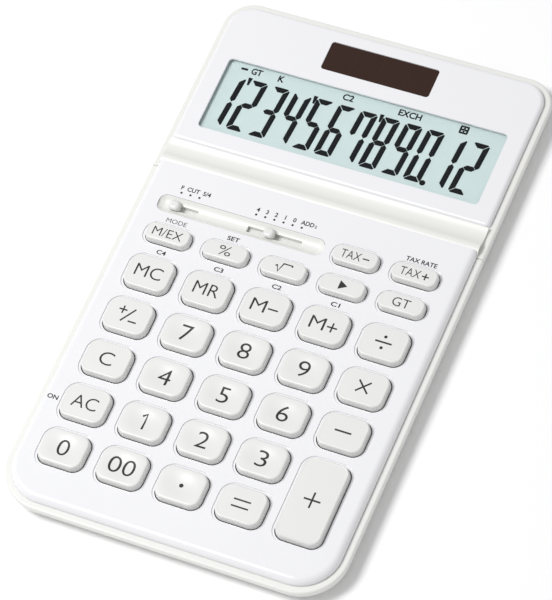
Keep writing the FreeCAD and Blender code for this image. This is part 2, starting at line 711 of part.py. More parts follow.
def lid_back():
    tray, inside = lower_envelope()
    reach = 2 * width
    wall_y = axis_y + lid_wall_from_axis
    behind = box(-reach, reach, axis_y, rear_y + 1, floor_z + tongue_gap, rim_z + 1)
    behind = behind.fuse(box(-reach, reach, axis_y + tongue + tongue_gap, rear_y + 1, 0, rim_z + 1))
    disc = cylinder_x(axis_y, hinge_z, barrel_r, -reach, reach)
    skin = ring_sector(barrel_r - barrel_wall, barrel_r, barrel_skin_from, barrel_skin_to,
                       -half_width + rim_width, half_width - rim_width)
    cavity_side = half_width - side_wall
    shell = tray.common(behind.fuse(disc))
    shell = shell.cut(inside.common(box(-reach, reach, wall_y + lid_wall, reach, 0, plate_z)))
    # in front of the wall only the cheeks stay
    shell = shell.cut(box(-cavity_side, cavity_side, front_y, wall_y, 0, plate_z))
    shell = shell.fuse([skin, hinge_band()])
    ribs = []
    for sx in (-1, 1):
        inner = knuckle_x - ear_width / 2 - ear_gap
        outer = knuckle_x + ear_width / 2 + ear_gap
        for a, b in ((inner - rib_wall, inner), (outer, outer + rib_wall)):
            x0, x1 = sorted((sx * a, sx * b))
            web = box(x0, x1, axis_y, wall_y + overlap, hinge_z - barrel_r, band_underside_z + overlap)
            ribs.append(cylinder_x(axis_y, hinge_z, barrel_r, x0, x1).fuse(web))
    shell = shell.fuse(ribs)
    bay_top_z = contact_z() + contact_wall
    bay = cylinder_z(cell_x, cell_y, cell_r + cell_gap + bay_wall, floor_z - part_gap, bay_top_z)
    shell = shell.fuse(bay)
    for x, y in lid_screw_points:
        shell = shell.fuse(cylinder_z(x, y, landing_r, floor_z - part_gap, floor_z + landing_height))
    cuts = []
    for sx in (-1, 1):
        half = ear_width / 2 + ear_gap + rib_wall
        x0, x1 = sorted((sx * (knuckle_x - half), sx * (knuckle_x + half)))
        cuts.append(cylinder_x(axis_y, hinge_z, pin_r + pin_running_gap, x0, x1))
    for x, y in lid_screw_points:
        cuts.append(cylinder_z(x, y, screw_head_r + hole_gap, 0, head_seat_z()))
        cuts.append(cylinder_z(x, y, screw_r + hole_gap, 0, rim_z))
    cuts.append(cylinder_z(cell_x, cell_y, cell_r + cell_gap, 0, panel_z))
    cuts.append(pad(cover_x, cell_y, cover_length + 2 * cover_gap, cover_width + 2 * cover_gap,
                    cover_corner_r + cover_gap, 0, cover_top_z + dome_gap))
    cuts.append(cylinder_z(cover_screw_x, cell_y, screw_r + thread_gap, 0, floor_z + part_gap))
    # the way for the contacts' tails and for the cable
    tail = contact_width / 2 + cable_slot_gap
    cell_front_y = cell_y - cell_r
    cuts.append(box(cell_x - tail, cell_x + tail, cell_front_y - plus_slot_reach,
                    cell_front_y + plus_slot_depth, cell_bottom_z + plus_slot_lift, panel_z))
    cuts.append(box(cell_x - tail, cell_x + tail, cell_y, cell_y + cell_r + minus_slot_reach,
                    contact_z() - part_gap, panel_z))
    cable_half = cable_width / 2 + cable_slot_gap
    cuts.append(box(-cable_half, cable_half, axis_y + tongue, wall_y + lid_wall + part_gap,
                    floor_z + tongue_gap, board_z + cable_slot_gap))
    post_top_z = floor_z + cover_post_height
    post = cylinder_z(cover_screw_x, cell_y, boss_r, cover_top_z + dome_gap, post_top_z)
    post = post.cut(cylinder_z(cover_screw_x, cell_y, screw_r + thread_gap, 0, post_top_z - post_cap))
    return shell.cut(cuts).fuse(post)


def panel_hook(x):
    """A hook behind the band's ledge, with its toe under it."""
    toe_top = upper_z - part_gap - ledge_wall - part_gap
    stem_y = ledge_rear_y + part_gap
    x0, x1 = x - hook_width / 2, x + hook_width / 2
    stem = box(x0, x1, stem_y, stem_y + hook_wall, toe_top - hook_wall, upper_z + part_gap)
    return stem.fuse(box(x0, x1, stem_y - hook_toe, stem_y + hook_wall, toe_top - hook_wall, toe_top))


def lid_front():
    panel = slab(-half_width + rim_width, half_width - rim_width, panel_front_y, rear_y - rim_width,
                 panel_edge_r + panel_corner_extra, rear_corner_r - rim_width, upper_z, panel_z)
    panel = round_level(panel, panel_z, panel_edge_r)
    inset = side_wall + skirt_gap
    skirt = body_slab(inset, rim_z - skirt_depth, upper_z + part_gap)
    skirt = skirt.cut(body_slab(inset + skirt_wall, 0, plate_z))
    skirt_front_y = panel_front_y + skirt_from_panel_front
    panel = panel.fuse(skirt.common(box(-width, width, skirt_front_y, rear_y, 0, plate_z)))
    for x, y in lid_screw_points:
        panel = panel.fuse(cylinder_z(x, y, boss_r, floor_z + landing_height + dome_gap, upper_z + part_gap))
    for x in hook_xs:
        panel = panel.fuse(panel_hook(x))
    cuts = [
        pad(0, window_y, window_length, window_height, window_corner_r, 0, panel_z + 1),
        pad(0, window_y, window_length + 2 * window_margin + 2 * part_gap,
            window_height + 2 * window_margin + 2 * part_gap, window_corner_r, 0, window_top_z),
        pad(0, solar_y, solar_length, solar_height, solar_corner_r, 0, panel_z + 1),
        pad(0, solar_y, solar_length + 2 * solar_margin + 2 * part_gap,
            solar_height + 2 * solar_margin + 2 * part_gap, solar_corner_r, 0, panel_z - solar_recess),
    ]
    cuts += [cylinder_z(x, y, screw_r + thread_gap, 0, upper_z + lid_screw_bite) for x, y in lid_screw_points]
    return panel.cut(cuts)


def display_window():
    return pad(0, window_y, window_length + 2 * window_margin, window_height + 2 * window_margin,
               window_corner_r, window_top_z - window_wall, window_top_z)


def solar_cell():
    top = panel_z - solar_recess
    return pad(0, solar_y, solar_length + 2 * solar_margin, solar_height + 2 * solar_margin,
               solar_corner_r, top - solar_wall, top)


def lcd_cell():
    return box(-lcd_half_x, lcd_half_x, window_y - lcd_half_y, window_y + lcd_half_y, lcd_bottom_z, lcd_top_z)


def elastomer_y():
    return window_y - lcd_half_y + elastomer_from_edge


def lcd_frame():
    """A tray that carries the display glass and stands on the lid's floor round the display board."""
    out_x, out_y = lcd_half_x + lcd_frame_wall, lcd_half_y + lcd_frame_wall
    frame = box(-out_x, out_x, window_y - out_y, window_y + out_y, floor_z + part_gap, lcd_top_z - part_gap)
    in_x, in_y = lcd_half_x + part_gap, lcd_half_y + part_gap
    ledge_low_z = lcd_bottom_z - lcd_ledge
    hole_x, hole_y = in_x - lcd_ledge_width, in_y - lcd_ledge_width
    slot_y = elastomer_y()
    cable_half = cable_width / 2 + cable_slot_gap
    tail = contact_width / 2 + cable_slot_gap
    cuts = [
        box(-in_x, in_x, window_y - in_y, window_y + in_y, lcd_bottom_z, panel_z),
        box(-in_x, in_x, window_y - in_y, window_y + in_y, 0, ledge_low_z),
        box(-hole_x, hole_x, window_y - hole_y, window_y + hole_y, 0, panel_z),
        box(-hole_x - part_gap, hole_x + part_gap, slot_y - part_gap, slot_y + elastomer_width + part_gap,
            0, panel_z),
        box(-cable_half, cable_half, window_y - out_y - 1, window_y - in_y + 1, 0, board_z + cable_slot_gap),
        box(cell_x - tail, cell_x + tail, window_y + in_y - 1, window_y + out_y + 1, 0, ledge_low_z),
    ]
    return frame.cut(cuts)


def display_board():
    edge = cable_slot_gap
    half_x, half_y = lcd_half_x - edge, lcd_half_y - edge
    return box(-half_x, half_x, window_y - half_y, window_y + half_y, board_z, display_board_top_z)


def elastomer_strip():
    half = lcd_half_x - lcd_ledge_width
    y = elastomer_y()
    return box(-half, half, y, y + elastomer_width, display_board_top_z, lcd_bottom_z)


def lid_screws():
    made = []
    for x, y in lid_screw_points:
        made.append(screw(x, y, case_bottom_z + head_sink, upper_z))
    return Part.makeCompound(made)


# ---- power --------------------------------------------------------------------------------
def battery_cell():
    can_top_z = cell_top_z - cell_edge_r
    can = cylinder_z(cell_x, cell_y, cell_r, cell_bottom_z, can_top_z)
    can = round_level(can, cell_bottom_z, cell_edge_r)
    return can.fuse(cylinder_z(cell_x, cell_y, cell_r - cell_rim, can_top_z - overlap, cell_top_z))


def contact_z():
    return cell_top_z + dome_gap


def battery_contact_minus():
    """A flat spring over the cell, with a lug on the bay wall behind it."""
    z = contact_z()
    half = contact_width / 2
    y1 = cell_y + cell_r + cell_gap + contact_lug - dome_gap
    return box(cell_x - half, cell_x + half, cell_y - contact_length / 2, y1, z, z + contact_wall)


def battery_contact_plus():
    """A strip that rises beside the cell and runs over the display board's edge."""
    half = contact_width / 2
    side_y = cell_y - cell_r - contact_wall - dome_gap
    tail_z = display_board_top_z
    riser = box(cell_x - half, cell_x + half, side_y, side_y + contact_wall,
                cell_bottom_z + contact_riser_lift, tail_z + contact_wall)
    tail_y = window_y + lcd_half_y - contact_overhang
    tail = box(cell_x - half, cell_x + half, tail_y, side_y + contact_wall, tail_z, tail_z + contact_wall)
    return riser.fuse(tail)


def battery_cover():
    cover = pad(cover_x, cell_y, cover_length, cover_width, cover_corner_r, case_bottom_z, cover_top_z)
    recess_top_z = case_bottom_z + cover_recess
    cover = cover.cut(cylinder_z(cover_screw_x, cell_y, screw_head_r + hole_gap, 0, recess_top_z))
    cover = cover.cut(cylinder_z(cover_screw_x, cell_y, screw_r + hole_gap, 0, cover_top_z))
    grip = []
    for i in range(grip_grooves):
        x = cover_x - cover_length / 2 + grip_from_end + grip_pitch * i
        grip.append(box(x, x + grip_width, cell_y - grip_half_length, cell_y + grip_half_length,
                        0, case_bottom_z + grip_depth))
    return cover.cut(grip)


def battery_cover_screw():
    head_z = case_bottom_z + cover_recess - screw_head
    return screw(cover_screw_x, cell_y, head_z, floor_z + cover_post_height - tip_gap)


def flex_cable():
    """The ribbon that joins the two boards under the hinge axis."""
    y0 = seam_y - barrel_r - board_before_barrel - cable_reach
    y1 = window_y - lcd_half_y + cable_reach
    return box(-cable_width / 2, cable_width / 2, y0, y1, board_z - cable_wall, board_z)


# ---- build --------------------------------------------------------------------------------
os.makedirs("parts", exist_ok=True)
pieces = {
    "upper_case": upper_case, "lower_case": lower_case, "key_pad_sheet": key_pad_sheet,
    "key_board": key_board, "calculator_chip": calculator_chip, "board_screws": board_screws,
    "case_screws": case_screws, "rubber_feet": rubber_feet, "selector_trough": selector_trough,
    "hinge_pins": hinge_pins, "flex_cable": flex_cable, "lid_front": lid_front, "lid_back": lid_back,
    "display_window": display_window, "lcd_cell": lcd_cell, "lcd_frame": lcd_frame,
    "elastomer_strip": elastomer_strip, "solar_cell": solar_cell, "display_board": display_board,
    "lid_screws": lid_screws, "battery_cell": battery_cell, "battery_contact_plus": battery_contact_plus,
    "battery_contact_minus": battery_contact_minus, "battery_cover": battery_cover,
    "battery_cover_screw": battery_cover_screw,
}
for name, make in pieces.items():
    save(name, make())
save("rounding_selector", selector(rounding_x, rounding_carrier))
save("decimal_selector", selector(decimal_x, decimal_carrier))
save("rounding_wiper", wiper(rounding_x))
save("decimal_wiper", wiper(decimal_x))
for key in keys:
    save(key["name"], key_cap(key))
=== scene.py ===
import json
import math

import bpy
from mathutils import Matrix, Vector


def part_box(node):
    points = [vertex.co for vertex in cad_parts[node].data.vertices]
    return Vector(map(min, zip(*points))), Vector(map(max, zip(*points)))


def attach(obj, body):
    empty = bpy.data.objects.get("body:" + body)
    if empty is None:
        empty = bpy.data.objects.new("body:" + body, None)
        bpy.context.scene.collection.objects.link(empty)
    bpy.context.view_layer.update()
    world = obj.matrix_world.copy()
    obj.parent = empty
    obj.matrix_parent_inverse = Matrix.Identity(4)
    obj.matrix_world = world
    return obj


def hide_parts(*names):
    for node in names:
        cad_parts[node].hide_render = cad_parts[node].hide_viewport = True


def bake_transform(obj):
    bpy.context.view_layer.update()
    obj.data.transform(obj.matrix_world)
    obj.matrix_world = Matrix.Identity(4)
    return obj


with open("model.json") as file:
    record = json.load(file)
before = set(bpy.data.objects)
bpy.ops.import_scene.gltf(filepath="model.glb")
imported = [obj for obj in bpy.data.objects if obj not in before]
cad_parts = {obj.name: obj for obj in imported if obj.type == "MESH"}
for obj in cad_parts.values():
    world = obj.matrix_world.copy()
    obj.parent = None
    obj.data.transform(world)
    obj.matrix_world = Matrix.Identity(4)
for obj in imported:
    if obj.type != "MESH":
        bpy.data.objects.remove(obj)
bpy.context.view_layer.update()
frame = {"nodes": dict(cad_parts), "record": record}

mm = 0.001
print("frame loaded:", len(frame["nodes"]), "nodes")


# selecting, editing and placing
def activate(piece):
    if bpy.context.object and bpy.context.object.mode != "OBJECT":
        bpy.ops.object.mode_set(mode="OBJECT")
    bpy.ops.object.select_all(action="DESELECT")
    piece.select_set(True)
    bpy.context.view_layer.objects.active = piece


def editAll(piece):
    activate(piece)
    bpy.ops.object.mode_set(mode="EDIT")
    bpy.ops.mesh.select_all(action="SELECT")


def addModifier(piece, kind, **settings):
    activate(piece)
    bpy.ops.object.modifier_add(type=kind)
    modifier = piece.modifiers[-1]
    for name, value in settings.items():
        setattr(modifier, name, value)
    bpy.ops.object.modifier_apply(modifier=modifier.name)


def smooth(piece, degrees=32):
    activate(piece)
    bpy.ops.object.shade_smooth_by_angle(angle=math.radians(degrees))
    addModifier(piece, "WEIGHTED_NORMAL", keep_sharp=True)


def join(pieces, name):
    activate(pieces[0])
    for piece in pieces:
        piece.select_set(True)
    if len(pieces) > 1:
        bpy.ops.object.join()
    pieces[0].name = name
    return pieces[0]


def finishPiece(piece, name, body, material):
    piece.name = name
    piece.data.materials.clear()
    piece.data.materials.append(material)
    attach(piece, body)
    return piece


def ownCopy(piece, name, shift):
    twin = bpy.data.objects.new(name, piece.data.copy())
    twin.data.transform(Matrix.Translation(shift))
    bpy.context.scene.collection.objects.link(twin)
    return twin


def middle(node):
    low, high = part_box(node)
    return (low + high) / 2


# shader groups
def startGroup(name, inputs, outputs):
    group = bpy.data.node_groups.new(name, "ShaderNodeTree")
    for label, kind, value in inputs:
        socket = group.interface.new_socket(name=label, in_out="INPUT", socket_type="NodeSocket" + kind)
        socket.default_value = value
    for label, kind in outputs:
        group.interface.new_socket(name=label, in_out="OUTPUT", socket_type="NodeSocket" + kind)
    return group, group.nodes.new("NodeGroupInput").outputs, group.nodes.new("NodeGroupOutput").inputs


def addNode(tree, kind, feeds, **settings):
    node = tree.nodes.new("ShaderNode" + kind)
    for name, value in settings.items():
        setattr(node, name, value)
    for key, value in feeds.items():
        if isinstance(value, bpy.types.NodeSocket):
            tree.links.new(value, node.inputs[key])
        else:
            node.inputs[key].default_value = value
    return node.outputs


def mathNode(tree, operation, first, second=0.0):
    return addNode(tree, "Math", {0: first, 1: second}, operation=operation)[0]


def blendColour(tree, factor, first, second):
    node = tree.nodes.new("ShaderNodeMix")
    node.data_type = "RGBA"
    for key, value in {0: factor, 6: first, 7: second}.items():
        if isinstance(value, bpy.types.NodeSocket):
            tree.links.new(value, node.inputs[key])
        else:
            node.inputs[key].default_value = value
    return node.outputs[2]


def mouldGrainGroup():
    # fine texture and slow flow of moulded plastic
    group, given, made = startGroup(
        "mouldGrain",
        [("Grain Scale", "Float", 4000.0), ("Flow Scale", "Float", 30.0), ("Tone Spread", "Float", 0.02),
         ("Gloss Spread", "Float", 0.05), ("Roughness", "Float", 0.3),
         ("Colour", "Color", (0.8, 0.8, 0.8, 1.0))],
        [("Colour", "Color"), ("Roughness", "Float"), ("Height", "Float")])
    place = addNode(group, "TexCoord", {})["Object"]
    grain = addNode(group, "TexNoise", {"Vector": place, "Scale": given["Grain Scale"], "Detail": 2.0})[0]
    flow = addNode(group, "TexNoise", {"Vector": place, "Scale": given["Flow Scale"], "Detail": 3.0})[0]
    offCentre = mathNode(group, "SUBTRACT", flow, 0.5)
    tone = mathNode(group, "MULTIPLY_ADD", offCentre, given["Tone Spread"])
    group.nodes[-1].inputs[2].default_value = 1.0
    tint = addNode(group, "VectorMath", {0: given["Colour"]}, operation="SCALE")
    group.links.new(tone, group.nodes[-1].inputs["Scale"])
    gloss = mathNode(group, "MULTIPLY", offCentre, given["Gloss Spread"])
    fine = mathNode(group, "MULTIPLY", mathNode(group, "SUBTRACT", grain, 0.5), given["Gloss Spread"])
    rough = mathNode(group, "ADD", mathNode(group, "ADD", given["Roughness"], gloss), fine)
    group.links.new(tint[0], made["Colour"])
    group.links.new(rough, made["Roughness"])
    group.links.new(grain, made["Height"])
    return group


def fineLinesGroup():
    # lines across one axis, as a mask that is 1 on the line
    group, given, made = startGroup(
        "fineLines",
        [("Direction", "Vector", (1.0, 0.0, 0.0)), ("Pitch", "Float", 1 * mm), ("Line Share", "Float", 0.1),
         ("Start", "Float", 0.0)],
        [("Line", "Float")])
    place = addNode(group, "TexCoord", {})["Object"]
    along = addNode(group, "VectorMath", {0: place, 1: given["Direction"]},
                    operation="DOT_PRODUCT")["Value"]
    steps = mathNode(group, "DIVIDE", mathNode(group, "SUBTRACT", along, given["Start"]), given["Pitch"])
    phase = mathNode(group, "FRACT", steps)
    group.links.new(mathNode(group, "LESS_THAN", phase, given["Line Share"]), made["Line"])
    return group


def touchFilmGroup():
    # faint film that fingers leave, as a mask
    group, given, made = startGroup(
        "touchFilm", [("Patch Scale", "Float", 90.0), ("Amount", "Float", 0.1)], [("Film", "Float")])
    place = addNode(group, "TexCoord", {})["Object"]
    patches = addNode(group, "TexNoise", {"Vector": place, "Scale": given["Patch Scale"], "Detail": 4.0,
                                          "Distortion": 0.8})[0]
    soft = addNode(group, "MapRange", {"Value": patches, "From Min": 0.45, "From Max": 0.75})[0]
    group.links.new(mathNode(group, "MULTIPLY", soft, given["Amount"]), made["Film"])
    return group


def paintedGapShadeGroup():
    # painted shade down in the gaps round the keys, as a mask that is 1 below the level and inside the
    # field
    group, given, made = startGroup(
        "paintedGapShade", [("Level", "Float", 0.0), ("Blur", "Float", 0.2 * mm), ("Half Width", "Float", 1.0),
                    ("Front", "Float", -1.0), ("Rear", "Float", 1.0)], [("Depth", "Float")])
    place = addNode(group, "TexCoord", {})["Object"]
    x, y, z = (addNode(group, "SeparateXYZ", {"Vector": place})[axis] for axis in range(3))
    sunk = mathNode(group, "DIVIDE", mathNode(group, "SUBTRACT", given["Level"], z), given["Blur"])
    soft = addNode(group, "Clamp", {"Value": sunk})[0]
    across = mathNode(group, "LESS_THAN", mathNode(group, "ABSOLUTE", x), given["Half Width"])
    along = mathNode(group, "MULTIPLY", mathNode(group, "GREATER_THAN", y, given["Front"]),
                     mathNode(group, "LESS_THAN", y, given["Rear"]))
    inField = mathNode(group, "MULTIPLY", across, along)
    group.links.new(mathNode(group, "MULTIPLY", soft, inField), made["Depth"])
    return group


paintedGapShade = paintedGapShadeGroup()
mouldGrain = mouldGrainGroup()
fineLines = fineLinesGroup()
touchFilm = touchFilmGroup()


def startMaterial(name):
    material = bpy.data.materials.new(name)
    material.use_nodes = True
    tree = material.node_tree
    return material, tree, tree.nodes["Principled BSDF"]


def placeGroup(tree, group, feeds):
    node = tree.nodes.new("ShaderNodeGroup")
    node.node_tree = group
    for key, value in feeds.items():
        if isinstance(value, bpy.types.NodeSocket):
            tree.links.new(value, node.inputs[key])
        else:
            node.inputs[key].default_value = value
    return node.outputs


def addBump(tree, shader, height, distance, strength=1.0):
    normal = addNode(tree, "Bump", {"Height": height, "Distance": distance, "Strength": strength})[0]
    tree.links.new(normal, shader.inputs["Normal"])


def setShader(shader, **values):
    for name, value in values.items():
        shader.inputs[name].default_value = value


def linkGrain(tree, shader, grain):
    tree.links.new(grain["Colour"], shader.inputs["Base Color"])
    tree.links.new(grain["Roughness"], shader.inputs["Roughness"])


def mouldedPlastic(name, look, gaps=None):
    material, tree, shader = startMaterial(name)
    film = placeGroup(tree, touchFilm, {"Patch Scale": look["filmScale"], "Amount": look["film"]})["Film"]
    base = mathNode(tree, "ADD", film, look["roughness"])
    colour = look["colour"]
    # painted shade: below the given level and inside the key field, the colour is blended towards the gaps'
    # dark grey
    if gaps:
        depth = placeGroup(tree, paintedGapShade, {
            "Level": gaps["level"], "Blur": gaps["blur"], "Half Width": gaps["halfWidth"],
            "Front": gaps["front"],
            "Rear": gaps["rear"]})["Depth"]
        colour = blendColour(tree, depth, colour, gaps["colour"])
    grain = placeGroup(tree, mouldGrain, {
        "Grain Scale": look["grainScale"], "Flow Scale": look["flowScale"],
        "Tone Spread": look["toneSpread"],
        "Gloss Spread": look["glossSpread"], "Roughness": base, "Colour": colour})
    linkGrain(tree, shader, grain)
    addBump(tree, shader, grain["Height"], look["grainDepth"])
    setShader(shader, **{"Coat Weight": look["coat"], "Coat Roughness": look["coatRoughness"],
                         "Specular IOR Level": look["specular"]})
    return material


glossShell = {
    "colour": (0.845, 0.845, 0.872, 1.0), "roughness": 0.2, "coat": 0.35, "coatRoughness": 0.06,
    "specular": 0.5,
    "grainScale": 2500.0, "grainDepth": 0.001 * mm, "flowScale": 22.0, "toneSpread": 0.02,
    "glossSpread": 0.05,
    "film": 0.05, "filmScale": 60.0}
satinTrim = {
    "colour": (0.80, 0.80, 0.775, 1.0), "roughness": 0.36, "coat": 0.1, "coatRoughness": 0.25,
    "specular": 0.45,
    "grainScale": 5200.0, "grainDepth": 0.004 * mm, "flowScale": 26.0, "toneSpread": 0.03,
    "glossSpread": 0.08,
    "film": 0.06, "filmScale": 70.0}
keyPlastic = {
    "colour": (0.775, 0.775, 0.76, 1.0), "roughness": 0.3, "coat": 0.15, "coatRoughness": 0.2,
    "specular": 0.5,
    "grainScale": 6500.0, "grainDepth": 0.003 * mm, "flowScale": 45.0, "toneSpread": 0.03,
    "glossSpread": 0.1,
    "film": 0.08, "filmScale": 160.0}
sheetRubber = {
    "colour": (0.60, 0.60, 0.59, 1.0), "roughness": 0.62, "coat": 0.0, "coatRoughness": 0.5,
    "specular": 0.3,
    "grainScale": 3500.0, "grainDepth": 0.006 * mm, "flowScale": 60.0, "toneSpread": 0.08,
    "glossSpread": 0.15,
    "film": 0.1, "filmScale": 120.0}
footRubber = {
    "colour": (0.045, 0.045, 0.048, 1.0), "roughness": 0.7, "coat": 0.0, "coatRoughness": 0.5,
    "specular": 0.25,
    "grainScale": 2600.0, "grainDepth": 0.012 * mm, "flowScale": 90.0, "toneSpread": 0.2,
    "glossSpread": 0.15,
    "film": 0.12, "filmScale": 200.0}
blackMoulding = {
    "colour": (0.012, 0.012, 0.013, 1.0), "roughness": 0.5, "coat": 0.0, "coatRoughness": 0.5,
    "specular": 0.4,
    "grainScale": 4200.0, "grainDepth": 0.006 * mm, "flowScale": 60.0, "toneSpread": 0.15,
    "glossSpread": 0.1,
    "film": 0.08, "filmScale": 120.0}
pottingResin = {
    "colour": (0.008, 0.008, 0.009, 1.0), "roughness": 0.16, "coat": 0.5, "coatRoughness": 0.1,
    "specular": 0.5,
    "grainScale": 1500.0, "grainDepth": 0.004 * mm, "flowScale": 300.0, "toneSpread": 0.3,
    "glossSpread": 0.1,
    "film": 0.04, "filmScale": 400.0}
legendInk = {
    "colour": (0.028, 0.028, 0.030, 1.0), "roughness": 0.42, "coat": 0.0, "coatRoughness": 0.4,
    "specular": 0.3,
    "grainScale": 9000.0, "grainDepth": 0.002 * mm, "flowScale": 260.0, "toneSpread": 0.25,
    "glossSpread": 0.1,
    "film": 0.05, "filmScale": 300.0}
crystalInk = {
    "colour": (0.003, 0.004, 0.006, 1.0), "roughness": 0.3, "coat": 0.0, "coatRoughness": 0.3,
    "specular": 0.3,
    "grainScale": 9000.0, "grainDepth": 0.001 * mm, "flowScale": 120.0, "toneSpread": 0.2,
    "glossSpread": 0.06,
    "film": 0.02, "filmScale": 100.0}


def displayGlass():
    look = {"colour": (0.60, 0.72, 0.715, 1.0), "line": (0.57, 0.69, 0.685, 1.0), "pitch": 0.32 * mm}
    material, tree, shader = startMaterial("reflectiveDisplay")
    across, down = (
        placeGroup(tree, fineLines, {"Direction": way, "Pitch": look["pitch"], "Line Share": 0.12})
        for way in ((1.0, 0.0, 0.0), (0.0, 1.0, 0.0)))
    lines = mathNode(tree, "MAXIMUM", across["Line"], down["Line"])
    colour = blendColour(tree, lines, look["colour"], look["line"])
    grain = placeGroup(tree, mouldGrain, {"Grain Scale": 8000.0, "Flow Scale": 18.0, "Tone Spread": 0.03,
                                          "Gloss Spread": 0.04, "Roughness": 0.34, "Colour": colour})
    linkGrain(tree, shader, grain)
    addBump(tree, shader, grain["Height"], 0.001 * mm)
    setShader(shader, **{"Specular IOR Level": 0.3, "Coat Weight": 0.15, "Coat Roughness": 0.1})
    return material


def clearPane():
    # clear to light on its way in, with the pane's own gloss on top
    material, tree, shader = startMaterial("clearPane")
    grain = placeGroup(tree, mouldGrain, {"Grain Scale": 3000.0, "Flow Scale": 15.0, "Tone Spread": 0.01,
                                          "Gloss Spread": 0.02, "Roughness": 0.04,
                                          "Colour": (0.97, 0.99, 0.99, 1.0)})
    linkGrain(tree, shader, grain)
    setShader(shader, **{"Transmission Weight": 1.0, "IOR": 1.08, "Alpha": 0.06})
    return material


def solarGlass():
    look = {"colour": (0.036, 0.016, 0.011, 1.0), "gap": (0.046, 0.022, 0.016, 1.0), "cells": 4}
    low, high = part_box("solar_cell")
    border = 1.2 * mm
    material, tree, shader = startMaterial("solarGlass")
    gaps = placeGroup(tree, fineLines, {
        "Direction": (1.0, 0.0, 0.0), "Line Share": 0.03, "Start": low.x + border,
        "Pitch": (high.x - low.x - 2 * border) / look["cells"]})
    fingers = placeGroup(tree, fineLines, {
        "Direction": (0.0, 1.0, 0.0), "Pitch": 0.5 * mm, "Line Share": 0.12})
    faint = mathNode(tree, "MULTIPLY", fingers["Line"], 0.22)
    mask = mathNode(tree, "MAXIMUM", mathNode(tree, "MULTIPLY", gaps["Line"], 0.5), faint)
    colour = blendColour(tree, mask, look["colour"], look["gap"])
    grain = placeGroup(tree, mouldGrain, {"Grain Scale": 2000.0, "Flow Scale": 40.0, "Tone Spread": 0.25,
                                          "Gloss Spread": 0.04, "Roughness": 0.22, "Colour": colour})
    linkGrain(tree, shader, grain)
    addBump(tree, shader, grain["Height"], 0.001 * mm)
    setShader(shader, **{"Specular IOR Level": 0.25})
    return material


def solderMask():
    # green mask over copper traces
    material, tree, shader = startMaterial("solderMask")
    place = addNode(tree, "TexCoord", {})["Object"]
    cells = addNode(tree, "TexVoronoi", {"Vector": place, "Scale": 420.0}, feature="DISTANCE_TO_EDGE",
                    distance="CHEBYCHEV")["Distance"]
    traces = mathNode(tree, "LESS_THAN", cells, 0.12)
    colour = blendColour(tree, traces, (0.010, 0.085, 0.035, 1.0), (0.030, 0.17, 0.065, 1.0))
    grain = placeGroup(tree, mouldGrain, {"Grain Scale": 3500.0, "Flow Scale": 80.0, "Tone Spread": 0.2,
                                          "Gloss Spread": 0.08, "Roughness": 0.3, "Colour": colour})
    linkGrain(tree, shader, grain)
    addBump(tree, shader, traces, 0.03 * mm)
    return material


def plainMetal(name, colour, roughness, brush):
    # brushed or plated metal: noise stretched along the brushing
    material, tree, shader = startMaterial(name)
    place = addNode(tree, "TexCoord", {})["Object"]
    stretched = addNode(tree, "Mapping", {"Vector": place, "Scale": brush})[0]
    brushing = addNode(tree, "TexNoise", {"Vector": stretched, "Scale": 1.0, "Detail": 3.0})[0]
    grain = placeGroup(tree, mouldGrain, {"Grain Scale": 5000.0, "Flow Scale": 120.0, "Tone Spread": 0.12,
                                          "Gloss Spread": 0.12, "Roughness": roughness, "Colour": colour})
    rough = mathNode(tree, "MULTIPLY_ADD", brushing, 0.14)
    tree.links.new(grain["Roughness"], tree.nodes[-1].inputs[2])
    tree.links.new(grain["Colour"], shader.inputs["Base Color"])
    tree.links.new(rough, shader.inputs["Roughness"])
    addBump(tree, shader, brushing, 0.004 * mm)
    setShader(shader, **{"Metallic": 1.0})
    return material


def cableFilm():
    look = {"film": (0.42, 0.17, 0.035, 1.0), "copper": (0.62, 0.30, 0.10, 1.0), "pitch": 1.0 * mm}
    material, tree, shader = startMaterial("cableFilm")
    tracks = placeGroup(tree, fineLines, {
        "Direction": (1.0, 0.0, 0.0), "Pitch": look["pitch"], "Line Share": 0.5,
        "Start": 0.25 * look["pitch"]})["Line"]
    colour = blendColour(tree, tracks, look["film"], look["copper"])
    grain = placeGroup(tree, mouldGrain, {"Grain Scale": 4000.0, "Flow Scale": 70.0, "Tone Spread": 0.1,
                                          "Gloss Spread": 0.08, "Roughness": 0.3, "Colour": colour})
    linkGrain(tree, shader, grain)
    addBump(tree, shader, tracks, 0.02 * mm)
    return material


keyField = [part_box(node) for node in ("key_0", "key_plus", "key_tax_plus")]
